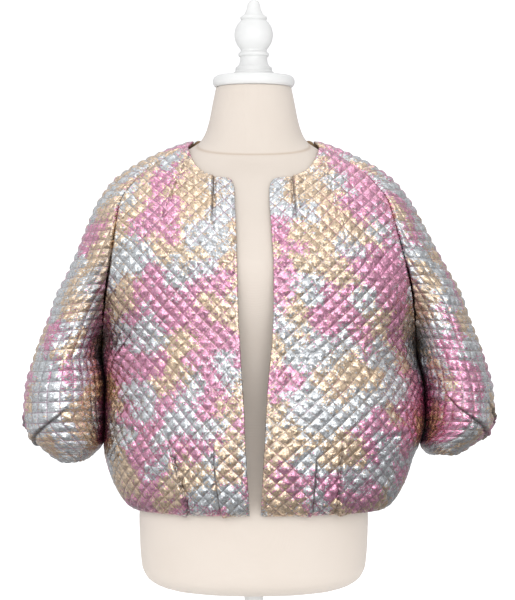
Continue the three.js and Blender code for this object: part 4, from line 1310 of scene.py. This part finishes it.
def makeForm():
    seamZ, tilt, seamWide = form["neckSeam"]
    low, high = seamZ - tilt - form["seamRows"], seamZ + tilt + form["seamRows"]
    lowest, highest = form["lowRows"][-1], form["topRows"][0]
    every = form["rowEvery"]
    rowsBelow, rowsAbove = np.arange(lowest, low, every), np.arange(high, highest, every)
    z = np.concatenate([
        form["lowRows"][:-1], rowsBelow, np.arange(low, high, 1.0), rowsAbove, form["topRows"][1:]
    ])
    row = {name: readColumn(formShape, "z", name, z) for name in formShape}
    n = 2 / jacket["roundness"]
    middle = np.minimum(jacket["sideY"] / 2, (row["front"] + row["back"]) / 2 + 4)
    sides, rings = form["sides"], len(z)
    angle = np.linspace(0, 2 * np.pi, sides, endpoint=False)
    c, s = np.cos(angle), np.sin(angle)
    atLowest, allOver, atTop = form["inset"]
    inset = allOver * np.ones_like(z)
    inset[0], inset[-1] = atLowest, atTop
    side = row["side"] - inset
    frontDepth, backDepth = middle - row["front"] - inset, row["back"] - middle - inset
    depth = np.where(s < 0, frontDepth[:, None], backDepth[:, None])
    x = side[:, None] * np.sign(c) * np.abs(c) ** n
    y = middle[:, None] + depth * np.sign(s) * np.abs(s) ** n
    seam = hump(z[:, None] - (seamZ + tilt * np.sin(angle)), seamWide)
    seamDeep, away = form["seamDeep"]
    groove = 1 - seamDeep / away * seam
    points = np.stack([x * groove, y * groove, np.broadcast_to(z[:, None], x.shape)], axis=-1).reshape(-1, 3)
    faces = []
    for j in range(rings - 1):
        low, high = j * sides, (j + 1) * sides
        for i in range(sides):
            following = (i + 1) % sides
            faces.append((low + i, low + following, high + following, high + i))
    faces.append(tuple(range(sides))[::-1])
    faces.append(tuple(range((rings - 1) * sides, rings * sides)))
    piece = meshPiece("form_linen", points, faces, [linenMaterial], [len(face) == 4 for face in faces])
    setDark(piece, seam.ravel())
    return piece


formPiece = makeForm()
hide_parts("form")
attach(formPiece, "root")
print("form ready")

# Turned pieces: a circle drawn out and resized along each profile of radius and height, as on a lathe
turning = {
    "sides": 96,
    "neckY": -7,  # the cap and the finial stand this far in front of the pole
    "sharp": 40,  # edges sharper than this in degrees stay sharp
}
capProfile = [(57, 0), (59.4, 1.6), (61, 4.6), (61.5, 8), (61, 11.4), (59.4, 14.4), (56.5, 16.4), (30, 17)]
finialProfile = [
    (30, 0), (30, 5), (28.4, 6.2), (27.5, 7), (27.2, 12), (25.4, 13.2), (23.2, 15), (21, 20),
    (20.2, 25), (20.6, 27.6), (22, 28.4), (22.9, 29.8), (23.2, 31.5), (22.7, 33.4), (21.3, 34.6), (20, 35.6),
    (19.6, 38.6), (22.4, 42.4), (25.4, 46.7), (27.6, 52), (28.9, 58.6), (28.9, 63.6), (27.6, 70),
    (25.4, 75.2), (22.4, 79.6), (18.9, 82.9), (19.2, 84), (20.2, 85.2), (20.4, 86.6), (19.6, 88.6),
    (17.6, 89.6), (14.4, 92), (13, 95), (11.2, 98.6), (10.5, 101), (10, 104), (9.4, 107.4), (7.6, 110.6),
    (4.4, 113), (1.2, 113.9),
]
poleProfile = [(26, 0), (26, 5.4), (24.6, 7), (17.4, 10.6), (14.6, 13.4), (14, 16), (14, 183.4)]
baseProfile = [
    (148, 0), (150, 1.6), (150, 8), (149.4, 11), (147.4, 13.6), (144.6, 15.4), (141.6, 16), (30, 16),
]


def drawOut(profile, size, middleY=0.0, low=0.0):
    # draws the selected circle out along a profile; size is what one unit of it is in metres
    for (lastRadius, lastZ), (radius, z) in zip(profile, profile[1:]):
        bpy.ops.mesh.extrude_region_move(TRANSFORM_OT_translate={"value": (0, 0, (z - lastZ) * size)})
        centre = (0, middleY * size, (low + z) * size)
        scale = radius / lastRadius
        bpy.ops.transform.resize(value=(scale, scale, 1), center_override=centre)


def turnPiece(node, profile, low, middleY=0.0):
    bpy.ops.object.select_all(action="DESELECT")
    radius, z = profile[0]
    centre = (0, middleY * millimetre, (low + z) * millimetre)
    bpy.ops.mesh.primitive_circle_add(
        vertices=turning["sides"], radius=radius * millimetre, fill_type="NGON", location=centre
    )
    piece = bpy.context.object
    bpy.ops.object.transform_apply(location=True, rotation=True, scale=True)
    bpy.ops.object.mode_set(mode="EDIT")
    drawOut(profile, millimetre, middleY, low)
    bpy.ops.mesh.select_all(action="SELECT")
    bpy.ops.mesh.normals_make_consistent(inside=False)
    bpy.ops.object.mode_set(mode="OBJECT")
    bpy.ops.object.shade_smooth_by_angle(angle=math.radians(turning["sharp"]))
    piece.name = piece.data.name = node + "_turned"
    piece.data.materials.append(paintMaterial)
    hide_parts(node)
    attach(piece, "root")
    return piece


def lowOf(node):
    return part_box(node)[0].z / millimetre


turnPiece("neck_cap", capProfile, lowOf("neck_cap"), turning["neckY"])
turnPiece("finial", finialProfile, lowOf("finial"), turning["neckY"])
turnPiece("pole", poleProfile, lowOf("pole"))
turnPiece("base", baseProfile, 0)
print("stand ready")

# A round floor and a wall that curves up from it, seen from inside only, so that they never hide the object
studio = {
    "floor": 4.0,  # radius of the floor that throws light back
    "below": 0.0002,  # the floor lies this far under the base
    "curveFrom": 7.0,  # where the floor begins to curve up
    "curve": 2.0,
    "curveSteps": 12,
    "tall": 30.0,
    "sides": 96,
    "color": (0.9, 0.9, 0.9),
    "roughness": 0.9,
    "glow": 0.45,
}
lamps = (  # where each stands and aims, how wide it is, and its watts
    ("keyLight", (-0.9, -3.0, 2.0), (0, 0, 0.6), 1.5, 24),
    ("fillLight", (0.9, -3.2, 1.1), (0, 0, 0.6), 1.6, 29),
    ("topLight", (0.2, 0.2, 2.8), (0, 0, 0.8), 1.4, 8),
)
sky = {
    "brightest": (-0.35, -0.25, 0.9),  # the direction that most light comes from
    "level": (0.45, 0.55),  # how the light falls off from there
    "dark": (0.16, 0.15, 0.15),
    "light": (1.0, 1.0, 1.02),
    "strength": 1.03,
}


def makePaper():
    material, tree, shader = newMaterial("paper")
    shader.inputs["Base Color"].default_value = (*studio["color"], 1)
    shader.inputs["Roughness"].default_value = studio["roughness"]
    shader.inputs["Emission Color"].default_value = (1, 1, 1, 1)
    shader.inputs["Emission Strength"].default_value = studio["glow"]
    behind = add(tree, "ShaderNodeNewGeometry").outputs["Backfacing"]
    clear = add(tree, "ShaderNodeBsdfTransparent")
    mixed = add(tree, "ShaderNodeMixShader", {0: behind, 1: shader.outputs[0], 2: clear.outputs[0]})
    tree.links.new(mixed.outputs[0], tree.nodes["Material Output"].inputs["Surface"])
    return material


def stageCircle(name, paper, fill):
    # adds a circle that becomes a part of the studio, and doesn't mirror in anything
    bpy.ops.mesh.primitive_circle_add(
        vertices=studio["sides"], radius=studio["floor"], fill_type=fill, location=(0, 0, -studio["below"])
    )
    shape = bpy.context.object
    shape.name = shape.data.name = name
    shape.data.materials.append(paper)
    shape.visible_glossy = False
    return shape


def makeStudio():
    paper = makePaper()
    stageCircle("floor", paper, "NGON")
    backdrop = stageCircle("backdrop", paper, "NOTHING")
    bpy.ops.object.mode_set(mode="EDIT")
    low, curve, steps = studio["curveFrom"], studio["curve"], studio["curveSteps"]
    bend = [math.radians(90 * k / steps) for k in range(steps + 1)]
    profile = [(low + curve * math.sin(angle), curve * (1 - math.cos(angle))) for angle in bend]
    drawOut([(studio["floor"], 0), *profile, (low + curve, studio["tall"])], 1, low=-studio["below"])
    bpy.ops.mesh.select_all(action="SELECT")
    bpy.ops.mesh.normals_make_consistent(inside=True)
    bpy.ops.object.mode_set(mode="OBJECT")
    bpy.ops.object.shade_smooth()
    backdrop.visible_diffuse = False
    backdrop.visible_shadow = False


def addLight(name, place, aim, size, watts):
    bpy.ops.object.light_add(type="AREA", location=place)
    light = bpy.context.object
    light.name = name
    light.data.size = size
    light.data.energy = watts
    light.rotation_euler = (Vector(aim) - Vector(place)).to_track_quat("-Z", "Y").to_euler()


def makeSky():
    world = bpy.context.scene.world or bpy.data.worlds.new("studio")
    bpy.context.scene.world = world
    world.use_nodes = True
    tree, background = world.node_tree, world.node_tree.nodes["Background"]
    way = add(tree, "ShaderNodeTexCoord").outputs["Generated"]
    level = scaled(tree, vectorMaths(tree, "DOT_PRODUCT", way, sky["brightest"]), *sky["level"])
    tree.links.new(mixColor(tree, level, sky["dark"], sky["light"]), background.inputs["Color"])
    background.inputs["Strength"].default_value = sky["strength"]


makeStudio()
for lamp in lamps:
    addLight(*lamp)
makeSky()
bpy.context.scene.view_settings.view_transform = "Standard"
print("studio ready")
